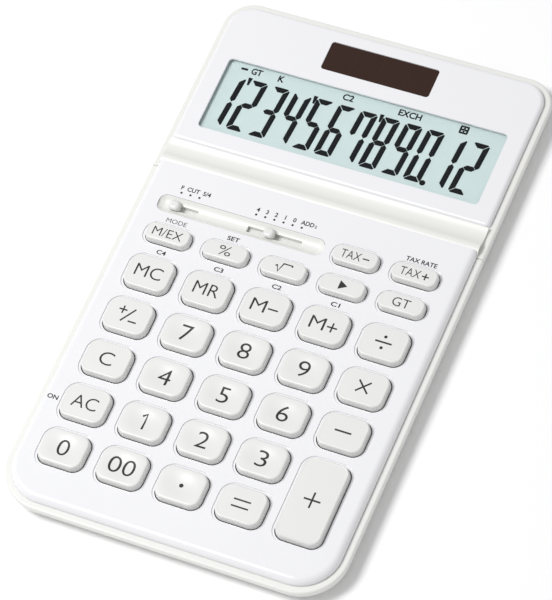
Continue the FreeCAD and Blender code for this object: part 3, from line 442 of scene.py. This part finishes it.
# painted shade in the gaps round the keys: plate and key colour turn dark grey below a level 0.4 mm under
# the plate's top
keyGapPaintedShade = {
    "level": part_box("upper_case")[1].z - 0.4 * mm, "blur": 0.15 * mm, "colour": (0.2, 0.2, 0.205, 1.0),
    "halfWidth": keyField[1][1].x, "front": keyField[0][0].y, "rear": keyField[2][1].y}
finishes = {
    "plate_white": mouldedPlastic("glossShell", glossShell, keyGapPaintedShade),
    "trim_white": mouldedPlastic("satinTrim", satinTrim),
    "key_white": mouldedPlastic("keyPlastic", keyPlastic, keyGapPaintedShade),
    "dome_rubber": mouldedPlastic("sheetRubber", sheetRubber),
    "foot_rubber": mouldedPlastic("footRubber", footRubber),
    "frame_black": mouldedPlastic("blackMoulding", blackMoulding),
    "chip_black": mouldedPlastic("pottingResin", pottingResin),
    "board_green": solderMask(),
    "screw_steel": plainMetal("zincPlate", (0.56, 0.56, 0.57, 1.0), 0.24, (2500.0, 400.0, 400.0)),
    "cell_steel": plainMetal("nickelPlate", (0.66, 0.65, 0.63, 1.0), 0.2, (400.0, 3000.0, 400.0)),
    "contact_brass": plainMetal("platedBrass", (0.70, 0.52, 0.24, 1.0), 0.26, (3000.0, 300.0, 300.0)),
    "cable_amber": cableFilm(),
    "window_clear": clearPane(),
    "lcd_pale": displayGlass(),
    "solar_brown": solarGlass(),
}
selectorFinish = mouldedPlastic("selectorPlastic", keyPlastic)
legendPrint = mouldedPlastic("legendInk", legendInk)
crystalPrint = mouldedPlastic("crystalInk", crystalInk)
slotOf = {part["node"]: part["material_slot"] for part in frame["record"]["subparts"]}
bodyOf = {node: body for body, nodes in frame["record"]["behaviour"]["bodies"].items() for node in nodes}
for node, cadObject in frame["nodes"].items():
    cadObject.data.materials.clear()
    cadObject.data.materials.append(finishes[slotOf[node]])
print("finishes ready")


# casings: the frame's own shapes, with soft light across their rounded edges
casings = {
    "nodes": ["upper_case", "lower_case", "lid_front", "lid_back", "selector_trough", "battery_cover",
              "rubber_feet", "case_screws", "lid_screws", "battery_cover_screw", "battery_cell",
              "hinge_pins",
              "rounding_selector", "decimal_selector", "display_window", "solar_cell", "calculator_chip"],
    "weld": 0.001 * mm, "softAngle": 34.0}


def softCasing(node):
    skin = bpy.data.objects.new(node + "_skin", frame["nodes"][node].data.copy())
    bpy.context.scene.collection.objects.link(skin)
    editAll(skin)
    bpy.ops.mesh.remove_doubles(threshold=casings["weld"])
    bpy.ops.mesh.customdata_custom_splitnormals_clear()
    bpy.ops.object.mode_set(mode="OBJECT")
    smooth(skin, casings["softAngle"])
    finish = selectorFinish if node.endswith("_selector") else finishes[slotOf[node]]
    finishPiece(skin, node + "_skin", bodyOf[node], finish)
    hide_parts(node)


for node in casings["nodes"]:
    softCasing(node)
print("casings smoothed")


# key caps
keyCap = {
    "softAngle": 38, "sameLevel": 0.01 * mm,
    "width": 14.6 * mm, "flangeWall": 0.7 * mm, "sideLean": 0.2 * mm, "edgeRound": 0.62 * mm,
    "roundSteps": 5,
    "surroundDepth": 0.35 * mm, "cornerSegments": 10, "sideCuts": 8, "cornerRadius": 3.3 * mm,
    "flatSide": 0.7 * mm,
    "topRings": (0.9, 0.78, 0.64, 0.5, 0.36, 0.22, 0.1), "wall": 1.1 * mm, "hollowHeight": 2.6 * mm,
    "topDrop": 0.035 * mm, "dishReachX": 6.3 * mm, "dishReachY": 4.9 * mm, "dishDepth": 0.5 * mm,
    "crown": 0.2 * mm}
dishedKeys = ["key_0", "key_00", "key_point"] + ["key_%d" % digit for digit in range(1, 10)]
notKeys = ("key_pad_sheet", "key_board")
allKeys = [node for node in frame["nodes"] if node.startswith("key_") and node not in notKeys]
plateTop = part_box("upper_case")[1].z


def sag(dished, halfDepth, x, y):
    # how far the top of a key lies under its highest level
    if dished:
        reach = (x / keyCap["dishReachX"]) ** 2 + (y / keyCap["dishReachY"]) ** 2
        return keyCap["dishDepth"] * (1 - reach) ** 2 if reach < 1 else 0.0
    return keyCap["crown"] * ((x / (keyCap["width"] / 2)) ** 4 + (y / halfDepth) ** 4) / 2


def ring(inset, rise):
    bpy.ops.mesh.inset(thickness=inset, depth=rise, use_even_offset=True)


def splitLongEdges(piece, length, cuts):
    bpy.ops.mesh.select_mode(type="EDGE")
    bpy.ops.mesh.select_all(action="DESELECT")
    bpy.ops.object.mode_set(mode="OBJECT")
    corners = piece.data.vertices
    for edge in piece.data.edges:
        first, second = (corners[index].co for index in edge.vertices)
        edge.select = (first - second).length > length
    bpy.ops.object.mode_set(mode="EDIT")
    bpy.ops.mesh.subdivide(number_cuts=cuts)


def makeCap(node):
    low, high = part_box(node)
    flange = (high.x - low.x - keyCap["width"]) / 2
    depth = high.y - low.y - 2 * flange
    corner = min(keyCap["cornerRadius"], min(keyCap["width"], depth) / 2 - keyCap["flatSide"])
    bpy.ops.mesh.primitive_plane_add(size=1, location=(0, 0, 0))
    cap = bpy.context.object
    cap.data.transform(Matrix.Translation((0, 0, low.z))
                       @ Matrix.Diagonal((high.x - low.x, high.y - low.y, 1, 1)))
    editAll(cap)
    bpy.ops.mesh.bevel(offset=corner + flange, segments=keyCap["cornerSegments"], affect="VERTICES")
    splitLongEdges(cap, keyCap["flatSide"], keyCap["sideCuts"])
    bpy.ops.mesh.select_mode(type="FACE")
    bpy.ops.mesh.select_all(action="SELECT")
    ring(0, keyCap["flangeWall"])
    ring(flange, 0)
    leanStart = plateTop - keyCap["surroundDepth"]
    top = high.z - keyCap["topDrop"]  # leaves room for the legend under the part's highest level
    ring(0, leanStart - low.z - keyCap["flangeWall"])
    radius, steps = keyCap["edgeRound"], keyCap["roundSteps"]
    ring(keyCap["sideLean"], top - radius - leanStart)
    for step in range(steps):
        before, after = (math.pi / 2 * part / steps for part in (step, step + 1))
        ring(radius * (math.cos(before) - math.cos(after)), radius * (math.sin(after) - math.sin(before)))
    shrunk = 1.0
    for share in keyCap["topRings"]:
        bpy.ops.mesh.extrude_region_move()
        bpy.ops.transform.resize(value=(share / shrunk, share / shrunk, 1))
        shrunk = share
    bpy.ops.mesh.select_all(action="DESELECT")
    bpy.ops.mesh.select_mode(type="EDGE")
    bpy.ops.mesh.select_non_manifold()
    bpy.ops.mesh.edge_face_add()
    bpy.ops.mesh.select_mode(type="FACE")
    ring(flange + keyCap["wall"], 0)
    bpy.ops.mesh.extrude_region_move(TRANSFORM_OT_translate={"value": (0, 0, keyCap["hollowHeight"])})
    bpy.ops.mesh.select_all(action="SELECT")
    bpy.ops.mesh.normals_make_consistent(inside=False)
    bpy.ops.object.mode_set(mode="OBJECT")
    dished = node in dishedKeys
    for corner in cap.data.vertices:
        if corner.co.z > top - keyCap["sameLevel"]:
            corner.co.z -= sag(dished, depth / 2, corner.co.x, corner.co.y)
    smooth(cap, keyCap["softAngle"])
    return cap


capShapes = {}
for node in allKeys:
    low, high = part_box(node)
    shape = (node in dishedKeys, round((high.y - low.y) / mm, 2))
    if shape not in capShapes:
        capShapes[shape] = makeCap(node)
    cap = ownCopy(capShapes[shape], node + "_cap", (middle(node).x, middle(node).y, 0))
    finishPiece(cap, node + "_cap", bodyOf[node], finishes["key_white"])
    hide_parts(node)
for pattern in capShapes.values():
    bpy.data.objects.remove(pattern)
print("key caps made:", len(allKeys))


# legends
printing = {
    "thickness": 0.02 * mm, "lift": 0.012 * mm, "curveSteps": 4, "plain": -0.007, "strong": 0.02,
    "roundSteps": 3, "weld": 0.002 * mm, "textCuts": 2, "strokeCuts": 3, "arrowRadius": 1.75 * mm}


def flatText(text, width, height, weight):
    bpy.ops.object.text_add(location=(0, 0, 0))
    glyphs = bpy.context.object
    glyphs.data.body = text
    glyphs.data.offset = weight
    glyphs.data.resolution_u = printing["curveSteps"]
    activate(glyphs)
    bpy.ops.object.convert(target="MESH")
    glyphs = bpy.context.object
    xs = [corner.co.x for corner in glyphs.data.vertices]
    ys = [corner.co.y for corner in glyphs.data.vertices]
    spanX, spanY = max(xs) - min(xs), max(ys) - min(ys)
    scaleX = width / spanX if width else height / spanY
    scaleY = height / spanY if height else scaleX
    glyphs.data.transform(Matrix.Diagonal((scaleX, scaleY, 1, 1))
                          @ Matrix.Translation((-(max(xs) + min(xs)) / 2, -(max(ys) + min(ys)) / 2, 0)))
    return glyphs


def flatStroke(points, width):
    # a line of one width along points, as a flattened round bar
    curve = bpy.data.curves.new("stroke", "CURVE")
    curve.dimensions = "3D"
    curve.bevel_depth = width / 2
    curve.bevel_resolution = printing["roundSteps"]
    curve.use_fill_caps = True
    line = curve.splines.new("POLY")
    line.points.add(len(points) - 1)
    for knot, (x, y) in zip(line.points, points):
        knot.co = (x, y, 0, 1)
    stroke = bpy.data.objects.new("stroke", curve)
    bpy.context.scene.collection.objects.link(stroke)
    activate(stroke)
    bpy.ops.object.convert(target="MESH")
    stroke = bpy.context.object
    stroke.data.transform(Matrix.Translation((0, 0, printing["thickness"] / 2))
                          @ Matrix.Diagonal((1, 1, printing["thickness"] / width, 1)))
    editAll(stroke)
    bpy.ops.mesh.subdivide(number_cuts=printing["strokeCuts"])
    bpy.ops.object.mode_set(mode="OBJECT")
    return stroke


def thicken(flat):
    editAll(flat)
    bpy.ops.mesh.remove_doubles(threshold=printing["weld"])
    bpy.ops.mesh.subdivide(number_cuts=printing["textCuts"])
    bpy.ops.object.mode_set(mode="OBJECT")
    addModifier(flat, "SOLIDIFY", thickness=printing["thickness"], offset=1)
    return flat


keyLegends = {
    "key_0": ("0", 3.7, 5.2), "key_00": ("00", 8.4, 5.2), "key_ac": ("AC", 8.1, 4.1),
    "key_2": ("2", 3.7, 5.2),
    "key_3": ("3", 3.4, 5.2), "key_c": ("C", 4.4, 4.4), "key_4": ("4", 4.0, 5.2), "key_5": ("5", 3.4, 5.2),
    "key_6": ("6", 3.7, 5.2), "key_7": ("7", 3.7, 5.2), "key_8": ("8", 3.7, 5.2), "key_9": ("9", 3.7, 5.2),
    "key_memory_clear": ("MC", 8.7, 4.1), "key_memory_recall": ("MR", 8.1, 4.1),
    "key_memory_minus": ("M", 4.7, 4.1),
    "key_memory_plus": ("M", 4.7, 4.1), "key_exchange": ("M/EX", 9.6, 2.9), "key_percent": ("%", 4.0, 3.3),
    "key_grand_total": ("GT", 5.5, 3.0), "key_tax_minus": ("TAX", 6.4, 2.7),
    "key_tax_plus": ("TAX", 6.4, 2.7)}
plusLines, minusLine = [[(-1, 0), (1, 0)], [(0, -1), (0, 1)]], [[(-1, 0), (1, 0)]]
drawnSigns = {  # node: lists of (lines, half size in mm, line width, middle); no lines makes a round dot
    "key_plus": [(plusLines, 2.6, 0.56, (0, 0))], "key_minus": [(minusLine, 2.6, 0.56, (0, 0))],
    "key_equals": [(minusLine, 2.7, 0.5, (0, 1.12)), (minusLine, 2.7, 0.5, (0, -1.12))],
    "key_multiply": [([[(-1, -1), (1, 1)], [(-1, 1), (1, -1)]], 1.9, 0.54, (0, 0))],
    "key_divide": [(minusLine, 2.6, 0.56, (0, 0)), ([], 0.5, 0, (0, 1.9)), ([], 0.5, 0, (0, -1.9))],
    "key_sign": [(plusLines, 1.3, 0.48, (-2.05, 1.4)), (minusLine, 1.35, 0.48, (2.1, -1.9)),
                 ([[(-0.85, -1.25), (0.85, 1.25)]], 1.95, 0.5, (0.1, 0))],
    "key_1": [([[(-0.34, 0.6), (0.16, 0.98), (0.16, -1)]], 2.6, 0.66, (0, 0))],
    "key_root": [([[(-1, 0.05), (-0.8, 0.2), (-0.5, -0.6), (-0.1, 0.55), (1, 0.55), (1, 0.35)]],
                  2.55, 0.52, (0, 0))],
    "key_point": [([], 0.65, 0, (0, 0))],
    "key_memory_minus": [(minusLine, 1.6, 0.5, (2.75, -0.3))],
    "key_memory_plus": [(plusLines, 1.6, 0.5, (2.75, -0.3))],
    "key_tax_minus": [(minusLine, 1.05, 0.42, (3.5, -0.15))],
    "key_tax_plus": [(plusLines, 1.1, 0.42, (3.5, -0.15))]}
legendShift = {
    "key_memory_minus": -2.0, "key_memory_plus": -2.0, "key_tax_minus": -1.35, "key_tax_plus": -1.35}


def drawSigns(node):
    drawn = []
    for lines, half, width, (x, y) in drawnSigns[node]:
        if not lines:
            bpy.ops.mesh.primitive_circle_add(vertices=24, radius=half * mm, fill_type="NGON")
            drawn.append(thicken(bpy.context.object))
            drawn[-1].data.transform(Matrix.Translation((x * mm, y * mm, 0)))
        for line in lines:
            points = [((x + half * alongX) * mm, (y + half * alongY) * mm) for alongX, alongY in line]
            drawn.append(flatStroke(points, width * mm))
    return drawn


def backspaceArrow():
    bpy.ops.mesh.primitive_circle_add(vertices=3, radius=printing["arrowRadius"], fill_type="NGON")
    arrow = bpy.context.object
    editAll(arrow)
    bpy.ops.transform.rotate(value=math.pi / 2, orient_axis="Z", center_override=(0, 0, 0))
    bpy.ops.object.mode_set(mode="OBJECT")
    return thicken(arrow)


def layOnKey(legend, node):
    low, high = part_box(node)
    flange = (high.x - low.x - keyCap["width"]) / 2
    halfDepth = (high.y - low.y) / 2 - flange
    for corner in legend.data.vertices:
        dip = sag(node in dishedKeys, halfDepth, corner.co.x, corner.co.y)
        corner.co.z += high.z - keyCap["topDrop"] - dip + printing["lift"]
    legend.data.transform(Matrix.Translation((middle(node).x, middle(node).y, 0)))
    smooth(legend)
    finishPiece(legend, node.replace("key_", "legend_"), bodyOf[node], legendPrint)


for node in allKeys:
    printed = drawSigns(node) if node in drawnSigns else []
    if node in keyLegends:
        text, width, height = keyLegends[node]
        printed.append(thicken(flatText(text, width * mm, height * mm, printing["plain"])))
        printed[-1].data.transform(Matrix.Translation((legendShift.get(node, 0) * mm, 0, 0)))
    if node == "key_backspace":
        printed.append(backspaceArrow())
    layOnKey(join(printed, node), node)
print("legends laid on the keys")


# print on the key plate
platePrint = {  # text, width, height, x, and y from the row that it belongs to
    "labels": [("MODE", 6.7, 1.5, -37.9, "key_exchange", 5.5),
               ("SET", 3.9, 1.5, -19.0, "key_exchange", 5.5),
               ("TAX RATE", 9.9, 1.5, 38.0, "key_tax_plus", 5.3),
               ("C4", 3.0, 1.5, -38.1, "key_memory_clear", 8.3),
               ("C3", 3.0, 1.5, -19.05, "key_memory_clear", 8.3),
               ("C2", 3.0, 1.5, 0.0, "key_memory_clear", 8.3),
               ("C1", 2.9, 1.5, 19.05, "key_memory_clear", 8.3), ("ON", 3.5, 1.5, -49.0, "key_ac", -0.3),
               ("F  CUT  5/4", 9.8, 1.5, -36.6, "selector_trough", 6.55),
               ("4", None, 1.5, -15.85, "selector_trough", 6.55),
               ("3", None, 1.5, -12.85, "selector_trough", 6.55),
               ("2", None, 1.5, -9.85, "selector_trough", 6.55),
               ("1", None, 1.5, -6.85, "selector_trough", 6.55),
               ("0", None, 1.5, -3.85, "selector_trough", 6.55),
               ("ADD", 4.2, 1.5, 0.4, "selector_trough", 6.55),
               ("2", None, 1.0, 3.15, "selector_trough", 6.3)],
    "dotsX": (-40.75, -37.75, -34.75, -15.85, -12.85, -9.85, -6.85, -3.85, -0.85), "dotRise": 4.75,
    "dotRadius": 0.36}


def layOnPlate(flat, x, y):
    flat.data.transform(Matrix.Translation((x * mm, y * mm, plateTop + printing["lift"])))
    return flat


def printPlate():
    marks = []
    for text, width, height, x, node, rise in platePrint["labels"]:
        weight = printing["plain" if "M" in text else "strong"]  # wider strokes would fill an M
        mark = thicken(flatText(text, width and width * mm, height * mm, weight))
        marks.append(layOnPlate(mark, x, middle(node).y / mm + rise))
    for x in platePrint["dotsX"]:
        bpy.ops.mesh.primitive_circle_add(vertices=16, radius=platePrint["dotRadius"] * mm,
                                          fill_type="NGON")
        dotY = middle("selector_trough").y / mm + platePrint["dotRise"]
        marks.append(layOnPlate(thicken(bpy.context.object), x, dotY))
    finishPiece(join(marks, "plate_print"), "plate_print", "base", legendPrint)


printPlate()
print("plate printed")


# figures on the display
windowEdge = 1.2 * mm  # the panel's opening lies this far inside the window's edge
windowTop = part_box("display_window")[1].y - windowEdge
figures = {
    "shown": "123456789012", "firstX": -42.2 * mm, "pitch": 7.36 * mm, "height": 18.8 * mm,
    "width": 5.7 * mm,
    "stroke": 1.78 * mm, "gap": 0.13 * mm, "chamfer": 0.8 * mm, "slant": 0.065, "belowTop": 14.05 * mm,
    "thickness": 0.03 * mm, "ticksAfter": (0, 3, 6), "tick": (1.4 * mm, 2.8 * mm), "pointAfter": 9,
    "pointRadius": 0.95 * mm, "cutThreshold": 1e-6,
    "tickPlace": (0.8, 0.32), "pointPlace": (0.85, 0.4)}
litBars = {"0": "abcdef", "1": "bc", "2": "abged", "3": "abgcd", "4": "fgbc", "5": "afgcd", "6": "afgedc",
           "7": "fabc", "8": "abcdefg", "9": "abcdfg"}


def cutFlat(size, centre, cuts):
    # a flat bar with its ends cut off along slanted lines, each a point and the direction that is cleared
    bpy.ops.mesh.primitive_plane_add(size=1, location=(0, 0, 0))
    bar = bpy.context.object
    bar.data.transform(Matrix.Translation((centre[0], centre[1], 0))
                       @ Matrix.Diagonal((size[0], size[1], 1, 1)))
    for (x, y), (towardsX, towardsY) in cuts:
        editAll(bar)
        bpy.ops.mesh.bisect(plane_co=(x, y, 0), plane_no=(towardsX, towardsY, 0), clear_outer=True,
                            threshold=figures["cutThreshold"])
    bpy.ops.object.mode_set(mode="OBJECT")
    addModifier(bar, "SOLIDIFY", thickness=figures["thickness"], offset=1)
    return bar


def makeBars():
    side, top = figures["width"] / 2, figures["height"] / 2
    stroke, gap, chamfer = figures["stroke"], figures["gap"] / 2, figures["chamfer"]
    bars = {}
    for name, up in (("a", 1), ("d", -1)):
        cuts = [((right * (side - 2 * gap), up * top), (right, -up)) for right in (-1, 1)]
        cuts += [((right * (side - chamfer), up * top), (right, up)) for right in (-1, 1)]
        bars[name] = cutFlat((2 * side, stroke), (0, up * (top - stroke / 2)), cuts)
    tip = side - stroke / 2 - gap
    bars["g"] = cutFlat((2 * side, stroke), (0, 0),
                        [((end * tip, 0), (end, up)) for end in (-1, 1) for up in (-1, 1)])
    for name, right, up in (("f", -1, 1), ("b", 1, 1), ("e", -1, -1), ("c", 1, -1)):
        inner = right * (side - stroke / 2)
        cuts = [((right * side, up * (top - 2 * gap)), (-right, up)),
                ((right * (side - chamfer), up * top), (right, up)),
                ((inner, up * gap), (1, -up)), ((inner, up * gap), (-1, -up))]
        bars[name] = cutFlat((stroke, top), (inner, up * top / 2), cuts)
    return bars


def showFigures():
    bars = makeBars()
    half = figures["height"] / 2
    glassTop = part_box("lcd_cell")[1].z
    centreY = windowTop - figures["belowTop"]
    upright = Matrix(((1, figures["slant"], 0, 0), (0, 1, 0, 0), (0, 0, 1, 0), (0, 0, 0, 1)))
    made = []
    for index, figure in enumerate(figures["shown"]):
        centre = Vector((figures["firstX"] + index * figures["pitch"], centreY, glassTop))
        for bar in litBars[figure]:
            made.append(ownCopy(bars[bar], "bar", (0, 0, 0)))
            made[-1].data.transform(Matrix.Translation(centre) @ upright)
        if index in figures["ticksAfter"]:
            wide, tall = figures["tick"]
            taper = [((side * wide / 2, tall / 2), (0.99 * side, -0.14)) for side in (-1, 1)]
            made.append(cutFlat((wide, tall), (0, 0), taper))
            aside, drop = (share * size for share, size in zip(figures["tickPlace"], (wide, tall)))
            spot = Vector((figures["width"] / 2 + aside, half - drop, 0))
            made[-1].data.transform(Matrix.Translation(centre + upright @ spot))
        if index == figures["pointAfter"]:
            bpy.ops.mesh.primitive_circle_add(vertices=20, radius=figures["pointRadius"], fill_type="NGON")
            made.append(bpy.context.object)
            addModifier(made[-1], "SOLIDIFY", thickness=figures["thickness"], offset=1)
            aside, rise = (share * figures["pointRadius"] for share in figures["pointPlace"])
            spot = Vector((figures["width"] / 2 + aside, rise - half, 0))
            made[-1].data.transform(Matrix.Translation(centre + upright @ spot))
    for pattern in bars.values():
        bpy.data.objects.remove(pattern)
    finishPiece(join(made, "display_figures"), "display_figures", "lid", crystalPrint)


signals = {"belowTop": 1.7 * mm, "weight": 0.03, "boxLine": 0.6 * mm,
           "boxRound": 0.35 * mm, "signSize": 1.8 * mm, "signWeight": 0.05,
           "words": [("−", 2.2, 0.75, -40.9), ("GT", 3.6, 2.3, -36.7), ("K", 2.0, 2.3, -28.4),
                     ("C2", 3.6, 2.3, -5.9), ("EXCH", 7.5, 2.3, 14.6)],
           "boxX": 32.3, "boxWidth": 2.9, "boxHeight": 2.9}


def showSignals():
    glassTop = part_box("lcd_cell")[1].z
    y = windowTop - signals["belowTop"]
    made = []
    for text, width, height, x in signals["words"]:
        word = flatText(text, width * mm, height and height * mm, signals["weight"])
        word.data.transform(Matrix.Translation((x * mm, y, glassTop)))
        made.append(thicken(word))
    bpy.ops.mesh.primitive_plane_add(size=1, location=(0, 0, 0))
    frameBox = bpy.context.object
    frameBox.data.transform(Matrix.Translation((signals["boxX"] * mm, y, glassTop))
                            @ Matrix.Diagonal((signals["boxWidth"] * mm, signals["boxHeight"] * mm, 1, 1)))
    editAll(frameBox)
    bpy.ops.mesh.bevel(offset=signals["boxRound"], segments=3, affect="VERTICES")
    bpy.ops.mesh.select_mode(type="FACE")
    bpy.ops.mesh.select_all(action="SELECT")
    ring(signals["boxLine"], 0)
    bpy.ops.mesh.delete(type="FACE")
    bpy.ops.object.mode_set(mode="OBJECT")
    sign = flatText("÷", signals["signSize"], signals["signSize"], signals["signWeight"])
    sign.data.transform(Matrix.Translation((signals["boxX"] * mm, y, glassTop)))
    made += [thicken(frameBox), thicken(sign)]
    finishPiece(join(made, "display_signals"), "display_signals", "lid", crystalPrint)


showFigures()
showSignals()
print("display figures shown")


# pale film over the contact tracks that the wipers touch, seen at the bottom of the trough's slots
contactFilm = {"thickness": 0.05 * mm, "reachY": 3.1 * mm, "endGap": 1.0 * mm, "cornerRound": 1.5 * mm}


def makeContactFilm():
    low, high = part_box("selector_trough")
    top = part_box("key_board")[1].z
    centre = middle("rounding_wiper")
    bpy.ops.mesh.primitive_plane_add(size=1, location=(0, 0, 0))
    film = bpy.context.object
    film.data.transform(Matrix.Translation(((low.x + high.x) / 2, centre.y, top)) @ Matrix.Diagonal(
        (high.x - low.x - 2 * contactFilm["endGap"], 2 * contactFilm["reachY"], 1, 1)))
    editAll(film)
    bpy.ops.mesh.bevel(offset=contactFilm["cornerRound"], segments=6, affect="VERTICES")
    bpy.ops.object.mode_set(mode="OBJECT")
    addModifier(film, "SOLIDIFY", thickness=contactFilm["thickness"], offset=1)
    finishPiece(film, "contact_film", "base", finishes["dome_rubber"])


makeContactFilm()
print("contact film laid")


# flat cable between the boards, made as a flat ribbon over the part's box
cable = {"cutsAcross": 6, "cutsAlong": 60, "bendReach": 2.5 * mm}


def flatCable():
    low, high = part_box("flex_cable")
    bpy.ops.mesh.primitive_grid_add(x_subdivisions=cable["cutsAcross"], y_subdivisions=cable["cutsAlong"],
                                    size=1, location=(0, 0, 0))
    ribbon = bpy.context.object
    ribbon.data.transform(Matrix.Translation(((low.x + high.x) / 2, (low.y + high.y) / 2, low.z))
                          @ Matrix.Diagonal((high.x - low.x, high.y - low.y, 1, 1)))
    addModifier(ribbon, "SOLIDIFY", thickness=high.z - low.z, offset=1)
    ribbon.name = "flat_cable"
    ribbon.data.materials.clear()
    ribbon.data.materials.append(finishes["cable_amber"])
    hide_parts("flex_cable")
    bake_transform(ribbon)


flatCable()
print("flat cable laid")


# floor, light and camera
studio = {
    "floorSize": 6.0, "floorColour": (0.96, 0.96, 0.965, 1.0), "skyColour": (1.0, 1.0, 1.0, 1.0),
    "skyStrength": 0.48,
    "lamps": [  # name, across the view, up the view, towards the viewer, size, power, in metres and watts
        ("windowLight", -0.62, 0.45, 0.75, 0.4, 7.9), ("frontFill", 0.6, -0.5, 1.0, 0.9, 0.8)]}
lens = {"azimuth": 37.09, "elevation": 58.93, "roll": -16.27, "distance": 1064.0 * mm, "focal": 215.4,
        "sensor": 36.0, "aimX": 1.48 * mm, "aimY": -5.73 * mm, "aimZ": 8.61 * mm}


def viewAxes():
    a, e, roll = (math.radians(lens[name]) for name in ("azimuth", "elevation", "roll"))
    back = Vector((math.sin(a) * math.cos(e), -math.cos(a) * math.cos(e), math.sin(e)))
    level = Vector((math.cos(a), math.sin(a), 0))
    across = math.cos(roll) * level + math.sin(roll) * back.cross(level)
    return across, back.cross(across), back


def paleFloor():
    bpy.ops.mesh.primitive_plane_add(size=studio["floorSize"], location=(0, 0, 0))
    floor = bpy.context.object
    floor.name = "floor"
    material, tree, shader = startMaterial("paleFloor")
    grain = placeGroup(tree, mouldGrain, {"Grain Scale": 600.0, "Flow Scale": 3.0, "Tone Spread": 0.004,
                                          "Gloss Spread": 0.05, "Roughness": 0.75,
                                          "Colour": studio["floorColour"]})
    linkGrain(tree, shader, grain)
    floor.data.materials.append(material)


def softSky():
    world = bpy.data.worlds.new("softSky")
    world.use_nodes = True
    world.node_tree.nodes["Background"].inputs["Color"].default_value = studio["skyColour"]
    world.node_tree.nodes["Background"].inputs["Strength"].default_value = studio["skyStrength"]
    bpy.context.scene.world = world


def softLamps():
    across, up, back = viewAxes()
    target = Vector((0, 0, 0))
    for name, right, high, near, size, power in studio["lamps"]:
        bpy.ops.object.light_add(type="AREA", location=target + across * right + up * high + back * near)
        lamp = bpy.context.object
        lamp.name = name
        lamp.data.size = size
        lamp.data.energy = power
        lamp.rotation_euler = (lamp.location - target).to_track_quat("Z", "Y").to_euler()


def makeCamera():
    across, up, back = viewAxes()
    bpy.ops.object.camera_add()
    camera = bpy.context.object
    camera.data.lens = lens["focal"]
    camera.data.sensor_width = lens["sensor"]
    camera.data.clip_start, camera.data.clip_end = 0.05, 20
    spot = Vector((lens["aimX"], lens["aimY"], lens["aimZ"])) + back * lens["distance"]
    camera.matrix_world = Matrix.Translation(spot) @ Matrix((across, up, back)).transposed().to_4x4()
    bpy.context.scene.camera = camera


paleFloor()
softSky()
softLamps()
makeCamera()
bpy.context.scene.view_settings.view_transform = "Standard"
print("studio set")
